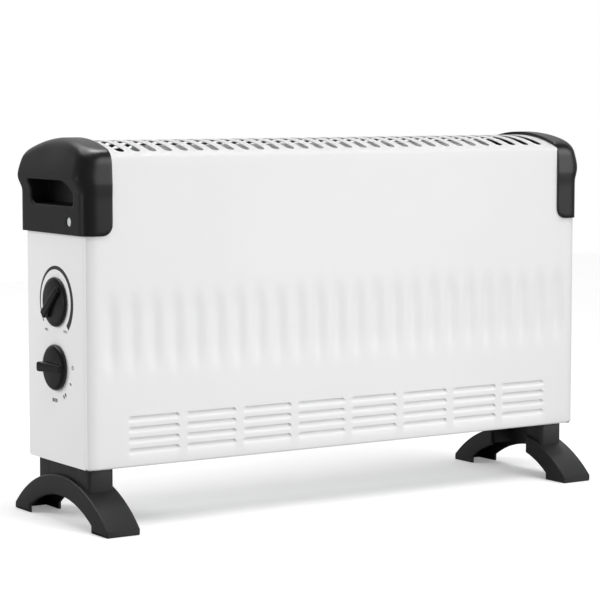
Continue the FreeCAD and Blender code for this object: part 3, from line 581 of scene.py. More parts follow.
def pressed_wall(side, top, fluted, roll_r, roll_turn):
    """Plan times section, pressings sunk in; faces in the slits and under the caps are left out."""
    x, y, angle, straight = wall_plan(fluted, roll_r, roll_turn)
    inset, z = wall_section(top)
    sink, drop = louvre_press(x, z)
    if fluted:
        sink = sink + flute_sink(x, z)
    back = inset[:, None] + sink * straight
    points = np.stack([x - np.sin(angle) * back, side * (y - np.cos(angle) * back),
                       z[:, None] - drop * straight], axis=-1)

    rows, count = back.shape
    faces = grid_faces(rows, count).reshape(rows - 1, count - 1, 4)
    lip_row = np.isin(np.round(z[:-1], 4), np.round(louvre_rows - slit, 4))
    deep = np.minimum(sink[:-1, :-1], sink[:-1, 1:]) > opening_depth
    high = z[:-1] > lap_z - lap_spare
    outer = np.minimum(np.abs(x[:-1]), np.abs(x[1:])) > lap_end - lap_spare
    faces = faces[~(lip_row[:, None] & deep | high[:, None] & outer[None, :])]
    if side > 0:
        faces = faces[:, ::-1]
    return points.reshape(-1, 3), faces


# %% Front and rear wall
front_form = pressed_wall(-1, wall_seam, True, roll_r=19.0, roll_turn=math.radians(36))
add_piece("front_wall", front_form, white_paint, stands_for=["front_shell"],
          wall=sheet, inside=inside_coat)
rear_form = pressed_wall(1, rear_seam, False, roll_r=10.5, roll_turn=math.radians(64))
add_piece("rear_wall", rear_form, white_paint, stands_for=["rear_panel"],
          wall=sheet, inside=inside_coat)

# %% [markdown]
# ## The slotted top
# The same sheet goes on over the top: a tight fold, a shallow crown with thirty cross slots, and a
# lip down the back. It is a profile carried along the casing. The slots are faces left out of the
# grid, and the rows at their ends are pulled into half circles, as a round punch leaves them.

# %% Crown profile and slots
top_half = cap_inner + 8
fold_r = 3.0
lip_gap = 0.2
crown_rise = 13.5
crown_r = (half_depth ** 2 + crown_rise ** 2) / (2 * crown_rise)
crown_z = crest_z - crown_r
slot_pitch = 17.9
slot_places = spaced(30, slot_pitch)
slot_half = 4.5
slot_stop = half_depth - 9.5
slot_start = slot_stop - slot_half
slot_blend = 8.0
slot_gap = 0.05
hair = 0.01


def crown_path(y):
    """Height of the crown arc at a distance y from the middle."""
    return crown_z + np.sqrt(crown_r ** 2 - y ** 2)


def crown_section():
    """Line from the front seam over the fold, the crown and the rear fold, and where the crown starts."""
    fold_y = half_depth - fold_r
    fold_z = crown_z + math.sqrt((crown_r - fold_r) ** 2 - fold_y ** 2)
    turn = np.linspace(np.pi / 2, math.atan2(fold_y, fold_z - crown_z), 7)
    bend_y = fold_y + fold_r * np.sin(turn)
    bend_z = fold_z + fold_r * np.cos(turn)
    run = np.concatenate([np.linspace(bend_y[-1], slot_start, 8)[1:],
                          np.linspace(slot_start, 0, 12)[1:]])
    half_y = np.concatenate([bend_y, run])
    half_z = np.concatenate([bend_z, crown_path(run)])
    path_y = np.concatenate([[-half_depth], -half_y, half_y[-2::-1], [half_depth]])
    path_z = np.concatenate([[wall_seam], half_z, half_z[-2::-1], [rear_seam + lip_gap]])
    return path_y, path_z, bend_y[-1]


def slotted_top():
    """The section carried along the casing, with the slot faces left out."""
    path_y, path_z, crown_edge = crown_section()
    bend = np.radians(np.arange(-90, 91, 22.5))
    holes = slot_places[:, None] + slot_half * np.sin(bend)
    lands = np.concatenate([slot_places - slot_pitch / 2, slot_places[-1:] + slot_pitch / 2,
                            [-top_half, top_half]])
    x = merged_lines(slot_gap, holes, lands)
    local = np.min(np.abs(x[None, :] - slot_places[:, None]), axis=0)
    bulge = np.sqrt(np.clip(slot_half ** 2 - local ** 2, 0, None))

    reach = np.abs(path_y)
    pull = np.clip(1 - np.abs(reach - slot_start) / slot_blend, 0, 1) * (reach >= slot_start - hair)
    moved = reach[:, None] + pull[:, None] * bulge[None, :]
    crown = (reach < crown_edge - hair)[:, None]
    y = np.where(crown, np.sign(path_y)[:, None] * moved, path_y[:, None])
    z = np.where(crown, crown_path(y), path_z[:, None])
    points = np.stack([np.broadcast_to(x, y.shape), y, z], axis=-1)

    rows, count = y.shape
    faces = grid_faces(rows, count).reshape(rows - 1, count - 1, 4)
    open_rows = np.maximum(reach[:-1], reach[1:]) < slot_start + hair
    open_columns = np.maximum(local[:-1], local[1:]) < slot_half + hair
    return points.reshape(-1, 3), faces[~(open_rows[:, None] & open_columns[None, :])]


add_piece("slotted_crown", slotted_top(), white_paint, stands_for=["front_shell"],
          wall=sheet, inside=inside_coat)

# %% [markdown]
# ## The end caps
# A cap is one moulding with no flat edge anywhere: a straight skirt, a hollow neck, a full rounded lip
# that serves as the handle, and a crown that follows the top. Patches with hand-set fillets would show
# their seams. Instead the outside is the place where a smooth distance is zero. Each corner is a
# rounded maximum of two distances, and grid points slide onto it by Newton steps.

# %% Cap form as a distance
cap_low, cap_high = box_of("end_cap_right")
cap_reach = cap_high[0]
cap_half = cap_high[1]
cap_base = cap_low[2]
cap_top = cap_high[2]
cap_side = half_length + 3.6
lip_z = base_z + 283.6
neck_z = base_z + 268
lean = 0.42
front_lean = 0.33
lean_soft = 8.0
front_from = 20.0
front_run = 60.0
crown_lift = 3.35
front_swell = 0.4
swell_z = base_z + 262
swell_run = 16.0
brow_z = base_z + 278
brow_lean = 0.06
rear_blend = 7.0
skirt_blend = 14.0
lip_blend = 18.0
top_blend = 10.0


def rounded_max(first, second, blend):
    """The larger of two distances, rounded where they differ by less than blend."""
    close = np.clip(blend - np.abs(first - second), 0, None) / blend
    return np.maximum(first, second) + close * close * blend / 4


def cap_distance(p):
    """Distance outside the cap: side with neck, lip and leaning top, the two faces, and the crown."""
    x, y, z = p[..., 0], p[..., 1], p[..., 2]
    swell = ease((z - neck_z) / (lip_z - neck_z))
    front = ease((front_from - y) / front_run)
    slant = lean + (front_lean - lean) * front
    leaning = slant * (np.hypot(np.clip(z - lip_z, 0, None), lean_soft) - lean_soft)
    side = x - (cap_side + (cap_reach - cap_side) * swell) + leaning
    face = np.abs(y) - (cap_half + front_swell * (ease((z - swell_z) / swell_run) - 1))
    face = face + brow_lean * np.clip(z - brow_z, 0, None)
    crown = np.hypot(y, z - crown_z) - crown_r - crown_lift
    corner = rear_blend + (skirt_blend + (lip_blend - skirt_blend) * swell - rear_blend) * front
    return rounded_max(rounded_max(side, face, corner), crown, top_blend)


# %% Sliding points onto the cap
slide_from = np.array([cap_inner + 8, cap_half - 26, lip_z - 4])
slide_run = np.array([16.0, 20.0, 20.0])
newton_steps = 40
probe_step = 0.01
least_slope = 0.05
longest_move = 3.0


def onto_cap(p):
    """Slides points to where the distance is zero, along the axes that each point may move on."""
    free = ease((np.abs(p) - slide_from) / slide_run)
    step = probe_step * np.eye(3)
    for _ in range(newton_steps):
        rise = np.stack([cap_distance(p + d) - cap_distance(p - d) for d in step], axis=-1)
        slope = rise / (2 * probe_step)
        along = free * slope
        length = np.sum(along * slope, axis=-1)
        move = cap_distance(p) / np.maximum(length, least_slope)
        p = p - np.clip(move, -longest_move, longest_move)[..., None] * along
    return p


probe = onto_cap(np.array([[cap_reach, 0.0, lip_z], [cap_reach, 0.0, cap_base],
                           [cap_inner, 0.0, cap_top]]))
print("cap lip and skirt reach", np.round(probe[:2, 0], 1), "and its crest", np.round(probe[2, 2], 1))

# %% [markdown]
# ### The hand recess
# Fingers hook into a pocket under the lip. Its mouth is long, with one large round upper corner at the
# front. The side of the cap is laid out as rings round that mouth, from the outline of the side to the
# mouth's edge, and the rings simply go on over the edge and down the pocket's walls.

# %% Recess outline
grip_front = -44.0
grip_rear = 46.0
grip_low = base_z + 256.5
grip_high = base_z + 280.5
grip_radii = np.array([4.0, 9.0, 4.0, 19.0])
least_radius = 0.5


def corner_arc(y, z, radius, start, count=24):
    """A quarter circle about a centre, starting at an angle in degrees."""
    turn = np.radians(start + np.linspace(0, 90, count))
    return np.stack([y + radius * np.cos(turn), z + radius * np.sin(turn)], axis=-1)


def mouth_outline(grow, across, upward):
    """Rounded outline of the recess, cut amid its corners into four sides of given fractions."""
    front, rear = grip_front - grow, grip_rear + grow
    low, high = grip_low - grow, grip_high + grow
    front_low, rear_low, rear_top, front_top = np.maximum(grip_radii + grow, least_radius)
    corners = [corner_arc(front + front_low, low + front_low, front_low, 180),
               corner_arc(rear - rear_low, low + rear_low, rear_low, 270),
               corner_arc(rear - rear_top, high - rear_top, rear_top, 0),
               corner_arc(front + front_top, high - front_top, front_top, 90)]
    sides = []
    for number, fractions in enumerate([across, upward, across, upward]):
        first, second = corners[number], corners[(number + 1) % 4]
        side = np.vstack([first[len(first) // 2:], second[:len(second) // 2 + 1]])
        length = np.concatenate([[0], np.cumsum(np.hypot(*np.diff(side, axis=0).T))])
        at = (fractions if number < 2 else 1 - fractions[::-1])[:-1] * length[-1]
        sides.append(np.stack([np.interp(at, length, line) for line in side.T], axis=-1))
    return np.vstack(sides)


print("recess", grip_rear - grip_front, "x", np.round(grip_high - grip_low, 1), "mm")

# %% Cap patches
flange_r = 11.0
mouth_r = 2.2
grip_floor = half_length - 16.8
pocket_walls = ((0.35, 0.2), (0.7, 0.4), (0.9, 0.6), (0.97, 1.1), (1.0, 2.6))
neck_start = neck_z - 6
lip_end = lip_z + 2
flange_end = half_length - 8
tiny = 1e-9


def cap_lines():
    """Grid lines of the cap's box: along the flange, across the side and upwards, closer at bends."""
    even = np.linspace(-1, 1, 49)
    y = cap_half * (0.5 * even + 0.5 * np.sin(even * np.pi / 2))
    z = np.concatenate([np.linspace(cap_base, neck_start, 9)[:-1],
                        np.linspace(neck_start, lip_end, 16)[:-1],
                        np.linspace(lip_end, cap_top, 16)])
    x = np.concatenate([np.linspace(cap_inner, flange_end, 8)[:-1],
                        np.linspace(flange_end, cap_reach, 10)])
    return x, y, z


def front_patch(x, z):
    """Front face as a grid, with the flange's lower corner drawn from a square onto a circle."""
    grid_x, grid_z = np.meshgrid(x, z)
    away = flange_r - np.stack([grid_x - cap_inner, grid_z - cap_base], axis=-1)
    inside = np.clip(away, 0, None)
    square = np.max(inside, axis=-1)
    diagonal = np.maximum(np.hypot(*np.moveaxis(inside, -1, 0)), tiny)
    round_off = np.where(square > 0, square / diagonal, 1)
    in_corner = inside.min(-1) > 0
    grid_x = np.where(in_corner, cap_inner + flange_r - inside[..., 0] * round_off, grid_x)
    grid_z = np.where(in_corner, cap_base + flange_r - inside[..., 1] * round_off, grid_z)
    return onto_cap(np.stack([grid_x, 0 * grid_x - cap_half, grid_z], axis=-1))


def side_rings(y, z):
    """Rings from the outline of the side to the recess, over its rounded edge and down to its floor."""
    across = (y + cap_half) / (2 * cap_half)
    upward = (z - cap_base) / (cap_top - cap_base)
    outline = np.vstack([np.stack([y[:-1], 0 * y[:-1] + z[0]], -1),
                         np.stack([0 * z[:-1] + y[-1], z[:-1]], -1),
                         np.stack([y[:0:-1], 0 * y[1:] + z[-1]], -1),
                         np.stack([0 * z[1:] + y[0], z[:0:-1]], -1)])
    mouth = mouth_outline(mouth_r, across, upward)
    share = np.linspace(1, 0, 20)[:, None, None]
    rings = mouth + (outline - mouth) * share
    side = onto_cap(np.concatenate([0 * rings[..., :1] + cap_reach, rings], axis=-1))

    edge_x = side[-1, :, 0]
    pocket = []
    for turn in np.radians([22.5, 45, 67.5, 90]):
        ring = mouth_outline(mouth_r * (1 - np.sin(turn)), across, upward)
        pocket.append(np.column_stack([edge_x - mouth_r * (1 - np.cos(turn)), ring]))
    wall_x = pocket[-1][:, 0]
    for depth, draft in pocket_walls:
        ring = mouth_outline(-draft, across, upward)
        pocket.append(np.column_stack([wall_x + (grip_floor - wall_x) * depth, ring]))
    return np.concatenate([side, np.array(pocket)])


print("cap grid lines along, across and up:", [len(lines) for lines in cap_lines()])

# %% The whole cap
def end_cap():
    """Right cap: front, rear and top patches, and the side as rings that run on into the recess."""
    x, y, z = cap_lines()
    front = front_patch(x, z)
    rear = front * (1, -1, 1)
    top_y, top_x = np.meshgrid(y, x, indexing="ij")
    top = onto_cap(np.stack([top_x, top_y, 0 * top_x + cap_top], axis=-1))
    rings = side_rings(y, z)
    count = rings.shape[1]
    ring_faces = grid_faces(len(rings), count, ring=True).tolist()
    floor = [list(range((len(rings) - 1) * count, len(rings) * count))]
    front_faces = grid_faces(*front.shape[:2])
    return joined((rings.reshape(-1, 3), ring_faces + floor),
                  (front.reshape(-1, 3), front_faces),
                  (rear.reshape(-1, 3), front_faces[:, ::-1]),
                  (top.reshape(-1, 3), grid_faces(*top.shape[:2])))


right_cap = end_cap()
print("a cap has", len(right_cap[1]), "faces before it gets its wall")

# %% [markdown]
# ### Screw seats
# One screw holds each cap to the side panel, sunk in a round seat on the skirt. A grid line for every
# seat would upset the rings, so the seat is bored afterwards with a round cutter, as a drill would do.

# %% Caps with their screw seats
casing_ends = ((-1, "left"), (1, "right"))
cap_wall = 2.3
cap_edge = 0.5
screw_y = -35.0
screw_z = base_z + 240.7
seat_r = 5.1
seat_depth = 1.9
drill_spare = 10.0


def turned(profile, axis_y, axis_z, side, count=48):
    """A profile of (radius, place along X) turned about an X axis and closed at both ends."""
    profile = np.asarray(profile, float)
    turn = np.linspace(0, 2 * np.pi, count, endpoint=False)
    radius = profile[:, :1]
    along = side * np.repeat(profile[:, 1:], count, axis=1)
    rings = [along, axis_y + radius * np.cos(turn), axis_z + radius * np.sin(turn)]
    return closed_rings(np.stack(rings, axis=-1).reshape(-1, 3), count)


for side, name in casing_ends:
    bore = [(seat_r, cap_side - seat_depth), (seat_r, cap_side + drill_spare)]
    drill = new_object("seat_drill", turned(bore, screw_y, screw_z, side))
    form = right_cap if side > 0 else mirrored(right_cap)
    add_piece("end_cap_" + name + "_moulding", form, cap_plastic,
              stands_for=["end_cap_" + name], wall=cap_wall, bevel=cap_edge, cutter=drill)

# %% [markdown]
# ### Cap screws
# The screws have a low round head with a cross recess. The head is a polar grid: its height falls
# towards the rim like a shallow dome, and drops by the depth of the recess inside the two bars of
# the cross.

# %% Cross-head screws
screw_head_r = 4.7
head_eye = 0.02
head_height = 1.7
head_bow = 1.06
cross_half = 0.75
cross_reach = 2.6
cross_depth = 1.0
cross_soft = 0.3
cross_end_soft = 0.4


def cross_bar(across, along):
    """One bar of the cross: 1 inside it and 0 outside, with soft edges."""
    return (ease((cross_half - np.abs(across)) / cross_soft + 0.5)
            * ease((cross_reach - np.abs(along)) / cross_end_soft + 0.5))


def cross_head(side):
    """Dome height over a disc, less the cross recess, with a straight rim down to the seat."""
    radius = np.linspace(head_eye, screw_head_r, 22)
    turn = np.linspace(0, 2 * np.pi, 96, endpoint=False)
    y = radius[:, None] * np.cos(turn)
    z = radius[:, None] * np.sin(turn)
    dome = head_height * np.sqrt(np.clip(head_bow - (radius[:, None] / screw_head_r) ** 2, 0, 1))
    height = dome - cross_depth * np.maximum(cross_bar(y, z), cross_bar(z, y))
    seat = cap_side - seat_depth
    top = np.stack([side * (seat + height), screw_y + y, screw_z + z], axis=-1)
    rim = top[-1:].copy()
    rim[..., 0] = side * seat
    return closed_rings(np.concatenate([top, rim]).reshape(-1, 3), len(turn))


add_piece("cap_screw_heads", joined(cross_head(-1), cross_head(1)), zinc,
          stands_for=["cap_screws"])

# %% [markdown]
# ## The feet
# Each foot is an arched moulding, open below: a thin outer wall, a roof over each leg, a thin inner wall
# and a neck that takes the screws. Each of these is an outline carried along one axis, and the outline
# is drawn in at both ends along a quarter circle, which is what rounds the long edges.

# %% Rounded prisms
def drawn_in(outline, amount):
    """The outline moved inwards by an amount, corners kept on their bisectors."""
    edge = np.roll(outline, -1, axis=0) - outline
    normal = np.stack([-edge[:, 1], edge[:, 0]], axis=-1) / np.hypot(*edge.T)[:, None]
    before = np.roll(normal, 1, axis=0)
    return outline + amount * (normal + before) / (1 + np.sum(normal * before, axis=1))[:, None]


def rounded_prism(outline, start, end, start_r, end_r, axis=0, paired=False):
    """An outline carried from start to end, drawn in along a quarter circle of a radius at each end.

    The ends are one face each, or strips between facing points where the outline is paired.
    """
    turn = np.radians([0, 22.5, 45, 67.5, 90])
    along = np.concatenate([start + start_r * (1 - np.cos(turn)),
                            end - end_r * (1 - np.cos(turn[::-1]))])
    inset = np.concatenate([start_r * (1 - np.sin(turn)), end_r * (1 - np.sin(turn[::-1]))])
    rings = np.stack([drawn_in(outline, amount) for amount in inset])
    level = np.broadcast_to(along[:, None, None], (len(along), len(outline), 1))
    points = np.insert(rings, [axis], level, axis=2).reshape(-1, 3)
    count = len(outline)
    close = np.arange(count)[None, :]
    if paired:
        first = np.arange(count // 2 - 1)
        close = np.stack([first, first + 1, count - 2 - first, count - 1 - first], axis=-1)
    last = (len(along) - 1) * count
    faces = grid_faces(len(along), count, ring=True).tolist()
    faces += close[:, ::-1].tolist() + (close + last).tolist()
    return outward(points, faces)


def round_corners(corners, radii, count=7):
    """A closed outline, counter-clockwise, with each corner replaced by an arc of its radius."""
    corners = np.asarray(corners, float)
    outline = []
    neighbours = zip(np.roll(corners, 1, 0), corners, np.roll(corners, -1, 0), radii)
    for before, corner, after, radius in neighbours:
        to_before = (before - corner) / np.hypot(*(before - corner))
        to_after = (after - corner) / np.hypot(*(after - corner))
        half = math.acos(np.clip(to_before @ to_after, -1, 1)) / 2
        bisector = (to_before + to_after) / np.hypot(*(to_before + to_after))
        centre = corner + bisector * radius / math.sin(half)
        first = corner + to_before * radius / math.tan(half) - centre
        second = corner + to_after * radius / math.tan(half) - centre
        start = math.atan2(first[1], first[0])
        sweep = (math.atan2(second[1], second[0]) - start + np.pi) % (2 * np.pi) - np.pi
        turn = start + sweep * np.linspace(0, 1, count)
        outline.append(centre + radius * np.stack([np.cos(turn), np.sin(turn)], axis=-1))
    return np.vstack(outline)


# %% Outlines of the arch and the roof
foot_low, foot_high = box_of("foot_right")
toe_half = foot_high[1]
foot_top = foot_high[2]
foot_inner = foot_low[0]
band_outer = foot_high[0]
toe_length = 33.0
toe_height = 6.6
arch_top = 48.0
arch_spring = 7.2
foot_skin = 3.2


def arc_radius(half, rise):
    """Radius of the arc over a chord of a half width, with a rise in its middle."""
    return (half ** 2 + rise ** 2) / (2 * rise)


def arc_over(half, low, high, y):
    """Height at y of the arc through (-half, low), (0, high) and (half, low)."""
    radius = arc_radius(half, high - low)
    return high - radius + np.sqrt(radius ** 2 - y ** 2)


def arch_outline(y_to, count, under_top):
    """Arch from the front toe to a Y place: over the outer arc and back along the under arc."""
    instep = toe_half - toe_length
    ends = np.array([[1.0, 0.0], [0.0, 1.0]])
    over_y = np.linspace(-toe_half, min(y_to, toe_half), count)
    under_y = np.linspace(-instep, min(y_to, instep), count)
    over = np.stack([over_y, arc_over(toe_half, toe_height, arch_top, over_y)], axis=-1)
    under = np.stack([under_y, arc_over(instep, arch_spring, under_top, under_y)], axis=-1)
    over = np.vstack([(-toe_half, 0) + ends, over])
    under = np.vstack([(-instep, 0) + ends * (0, 1), under])
    if y_to >= toe_half:
        over = np.vstack([over, (toe_half, 0) + ends[::-1] * (-1, 1)])
        under = np.vstack([under, (instep, 0) + ends[::-1] * (0, 1)])
    return np.vstack([over, under[::-1]])[::-1]


def roof_outline(y_to, count):
    """Outline of a leg's roof: along the outer arc and back along the same arc one skin lower."""
    toe = toe_half - foot_skin
    radius = arc_radius(toe_half, arch_top - toe_height)
    over_y = np.linspace(-toe_half, y_to, count)
    under_y = np.linspace(-toe, y_to, count)
    over = np.stack([over_y, arc_over(toe_half, toe_height, arch_top, over_y)], axis=-1)
    under_z = arch_top - radius + np.sqrt((radius - foot_skin) ** 2 - under_y ** 2)
    under = np.stack([under_y, under_z], axis=-1)
    over = np.vstack([[(1 - toe_half, 0), (-toe_half, 1)], over])
    under = np.vstack([[(-toe, 0), (-toe, 1)], under])
    return np.vstack([over, under[::-1]])[::-1]


print("foot", 2 * np.round(toe_half, 1), "mm long, arch", arch_top, "mm high")

# %% Arch, legs and neck of a foot
arch_under = 27.2
inner_under = 30.0
leg_clear = 29.0
inner_clear = leg_clear + 2
wall_foot = arch_under + 2
block_foot = arch_under + 1
neck_outer = band_outer - 5
neck_inner = foot_inner + 3.8
neck_half = 54.0
neck_skin = 5.0
neck_r = 3.7
block_r = 0.8
wall_r = 0.5
wall_short = 4.0
band_r = 2.4
roof_r = 1.0
inner_r = 0.6
roof_lap = 2.5
seam_r = 0.2
foot_r = 0.3
seat_edge_r = 0.1
hidden = 0.15


def foot():
    """Right foot: outer arch wall, roof and inner wall of both legs, neck wall and two screw blocks."""
    arch = arch_outline(toe_half, 41, arch_under)
    band = rounded_prism(arch, band_outer - foot_skin, band_outer, foot_r, band_r, paired=True)
    roof = drawn_in(roof_outline(-leg_clear, 25), hidden)
    inner = drawn_in(arch_outline(-inner_clear, 25, inner_under), 2 * hidden)
    legs = []
    for outline, start, end, start_r in (
            (roof, foot_inner, band_outer - roof_lap, roof_r),
            (inner, foot_inner + hidden, foot_inner + foot_skin, inner_r)):
        for half in (outline, outline[::-1] * (-1, 1)):
            legs.append(rounded_prism(half, start, end, start_r, seam_r, paired=True))
    wall_end = neck_half - wall_short
    near, away = neck_outer - neck_skin, neck_outer - hidden
    wall = [(near, -wall_end), (away, -wall_end), (away, wall_end), (near, wall_end)]
    neck_wall = rounded_prism(round_corners(wall, [wall_r] * 4), wall_foot, foot_top, foot_r,
                              seat_edge_r, axis=2)
    blocks = []
    for side in (-1, 1):
        low, high = sorted((side * leg_clear, side * neck_half))
        corners = [(neck_inner, low), (neck_outer, low), (neck_outer, high), (neck_inner, high)]
        radii = [neck_r if abs(y) > leg_clear else block_r for _, y in corners]
        blocks.append(rounded_prism(round_corners(corners, radii), block_foot, foot_top - hidden,
                                    foot_r, seat_edge_r, axis=2))
    return joined(band, *legs, neck_wall, *blocks)


right_foot = foot()
for side, name in casing_ends:
    form = right_foot if side > 0 else mirrored(right_foot)
    add_piece("foot_" + name + "_moulding", form, foot_plastic,
              stands_for=["foot_" + name])

# %% [markdown]
# ## The knobs
# A knob is a low dome with a rounded skirt, turned like a pot lid, and a grip bar across it that tapers
# towards one end. The dome is a turned profile and the bar a rounded prism that stands in it. The
# thermostat's knob is a little wider and flatter than the selector's, and its bar rests at a slant.

# %% Dome and grip bar
knob_low, knob_high = box_of("selector_knob")
knob_nearer = 0.7
knob_spare = 0.1
knob_seat = -knob_high[0] - knob_nearer
knob_reach = -knob_low[0] - half_length - knob_spare
knob_r = (knob_high[2] - knob_low[2]) / 2
face_r = 18.5
skirt_height = 1.2
crown_bow = 1.0
rim_inset = 0.4
knob_eye = 0.05
bar_half = 19.5
bar_wide = 5.0
bar_slim = 3.4
bar_tail = 7.6
bar_radii = [1.8, 2.6, 2.6, 1.8]
bar_edge_r = 1.4
bar_root_r = 0.1
bar_root = 2.0


def knob_dome(axis_z, rim_r, dome_height):
    """Turned profile: a rounded skirt from the rim up to the face, and a face with a slight bow."""
    bend = np.radians(np.linspace(0, 90, 9))
    skirt_r = rim_r - (rim_r - face_r) * (1 - np.cos(bend))
    skirt_rise = dome_height - skirt_height - crown_bow
    skirt_x = knob_seat + skirt_height + skirt_rise * np.sin(bend)
    crown = np.linspace(face_r, knob_eye, 9)
    crown_x = knob_seat + dome_height - crown_bow * (crown / face_r) ** 2
    profile = np.vstack([[(rim_r - rim_inset, knob_seat)], np.column_stack([skirt_r, skirt_x]),
                         np.column_stack([crown, crown_x])[1:]])
    return turned(profile, 0.0, axis_z, -1, count=72)


def grip_bar(axis_z, turn_degrees, reach):
    """Prism that slopes down and narrows towards the front, turned about the shaft."""
    ends = [(-bar_half, -bar_slim), (bar_half, -bar_wide), (bar_half, bar_wide),
            (-bar_half, bar_slim)]
    root = knob_seat + bar_root
    tall = half_length + reach - root
    points, faces = rounded_prism(round_corners(ends, bar_radii), -root - tall, -root, bar_edge_r,
                                  bar_root_r)
    y, z = points[:, 1].copy(), points[:, 2].copy()
    slope = (reach - bar_tail) / tall
    points[:, 0] = -root + (points[:, 0] + root) * (1 - slope * (bar_half - y) / (2 * bar_half))
    turn = math.radians(turn_degrees)
    points[:, 1] = y * math.cos(turn) - z * math.sin(turn)
    points[:, 2] = y * math.sin(turn) + z * math.cos(turn) + axis_z
    return points, faces


# %% Thermostat and selector knob
knob_forms = {
    "thermostat": {"turn": -45.0, "rim_r": knob_r + 1.7, "dome": 4.8, "reach": knob_reach - 4.2},
    "selector": {"turn": 0.0, "rim_r": knob_r, "dome": 6.4, "reach": knob_reach - 0.8},
}
knob_axes = {}
for name, form in knob_forms.items():
    low, high = box_of(name + "_shaft")
    axis_z = knob_axes[name] = (low[2] + high[2]) / 2
    parts = joined(knob_dome(axis_z, form["rim_r"], form["dome"]),
                   grip_bar(axis_z, form["turn"], form["reach"]))
    add_piece(name + "_knob_moulding", parts, knob_plastic, body=name + "_dial",
              stands_for=[name + "_knob"])

# %% [markdown]
# ## Printing on the side panel
# A ring that grows thicker from cool to warm goes round the thermostat, and plain marks go with both
# dials. Screen printing is a film of ink, so each mark is a thin closed strip that lies on the panel.
# The ring is a band between two circles whose width grows along it. The words at its ends are text
# made into a mesh, and the selector's numerals are bars and an oval.

# %% Ink and the warm ring
ink_film = 0.1
panel_x = -half_length
ring_r = 34.0
ring_start = 218.0
ring_sweep = 263.0
ring_thin = 1.2
ring_thick = 6.2


def ink_finish():
    """Dark grey ink, slightly uneven."""
    material, shader, shade = start_finish("printing_ink")
    patch = noise(shade, scale=700)
    feed(shader, shade, patch.between(grey(52), grey(66)), 0.5 + 0.15 * patch, patch, depth=0.004)
    return material


def ink_strip(inner, outer):
    """A closed film between two lines of points in the plane of the panel."""
    lines = np.stack([inner, outer, outer, inner])
    levels = np.array([0.0, 0.0, ink_film, ink_film])[:, None, None]
    x = np.broadcast_to(panel_x - levels, lines.shape[:2] + (1,))
    points = np.concatenate([x, lines], axis=-1).transpose(1, 0, 2).reshape(-1, 3)
    return closed_rings(points, 4)


def on_dial(axis_z, radius, degrees):
    """Place on the panel at a radius and an angle, seen from outside: 0 to the front, 90 up."""
    turn = np.radians(degrees)
    return np.stack([-radius * np.cos(turn), axis_z + radius * np.sin(turn)], axis=-1)


def warm_ring(axis_z):
    """Band that starts thin at the lower left and grows over the top to the lower right."""
    share = np.linspace(0, 1, 121)
    degrees = ring_start - ring_sweep * share
    width = ring_thin + (ring_thick - ring_thin) * share
    return ink_strip(on_dial(axis_z, ring_r - width / 2, degrees),
                     on_dial(axis_z, ring_r + width / 2, degrees))


ink = ink_finish()
thermostat_z = knob_axes["thermostat"]
add_piece("thermostat_print", warm_ring(thermostat_z), ink)

# %% Words and numerals
capital_share = 0.7
word_height = 2.6


def letters(name, text, place, height):
    """Plain characters as a thin mesh on the panel, upright and readable from the left."""
    curve = bpy.data.curves.new(name, "FONT")
    curve.body = text
    curve.size = height * MM / capital_share
    curve.align_x = "CENTER"
    curve.align_y = "CENTER"
    curve.extrude = ink_film * MM / 2
    maker = bpy.data.objects.new(name, curve)
    mesh = bpy.data.meshes.new_from_object(maker)
    bpy.data.objects.remove(maker)
    points = np.empty(3 * len(mesh.vertices))
    mesh.vertices.foreach_get("co", points)
    flat = points.reshape(-1, 3) / MM
    on_panel = np.column_stack([panel_x - ink_film / 2 - flat[:, 2], place[0] - flat[:, 0],
                                place[1] + flat[:, 1]])
    return on_panel, [list(face.vertices) for face in mesh.polygons]


def stroke(place, degrees, along, wide, tall):
    """One upright bar of a numeral, turned about a place and moved along the line of text."""
    turn = math.radians(degrees)
    corners = np.array([[-wide, -tall], [-wide, tall], [wide, -tall], [wide, tall]]) / 2
    rows = np.array([[math.cos(turn), math.sin(turn)], [-math.sin(turn), math.cos(turn)]])
    seen = place + (corners + (along, 0)) @ rows * (-1, 1)
    return ink_strip(seen[:2], seen[2:])


def zero_mark(place, half_wide, half_tall, line):
    """A figure nought as a band between two ovals, closed on itself."""
    turn = np.linspace(0, 2 * np.pi, 33)
    oval = np.stack([np.cos(turn), np.sin(turn)], axis=-1)
    return ink_strip(place + oval * (half_wide - line, half_tall - line),
                     place + oval * (half_wide, half_tall))


selector_z = knob_axes["selector"]
low_end = on_dial(thermostat_z, radius=36.0, degrees=234)
high_end = on_dial(thermostat_z, radius=34.3, degrees=-55)
off = on_dial(selector_z, radius=34.5, degrees=4.6)
first = on_dial(selector_z, radius=32.8, degrees=-25)
second = on_dial(selector_z, radius=31.8, degrees=-57)
third = on_dial(selector_z, radius=33.3, degrees=-97)
printed = [letters("mark", "MIN", low_end, word_height), letters("mark", "MAX", high_end, word_height),
           zero_mark(off, half_wide=1.9, half_tall=2.0, line=0.8),
           stroke(first, 60, along=0.0, wide=1.5, tall=4.2)]
printed += [stroke(second, 30, along, wide=2.2, tall=3.6) for along in (-2.1, 2.1)]
printed += [stroke(third, 0, along, wide=2.5, tall=3.6) for along in (-3.9, 0.0, 3.9)]
add_piece("dial_marks", joined(*printed), ink)

# %% [markdown]
# ## Finishes for the pieces that keep their own shape
# Side panels, the floor plate, switches, wires and the heating chamber keep the shapes they already
# have. Each takes the finish of its material, which its record names as a slot.

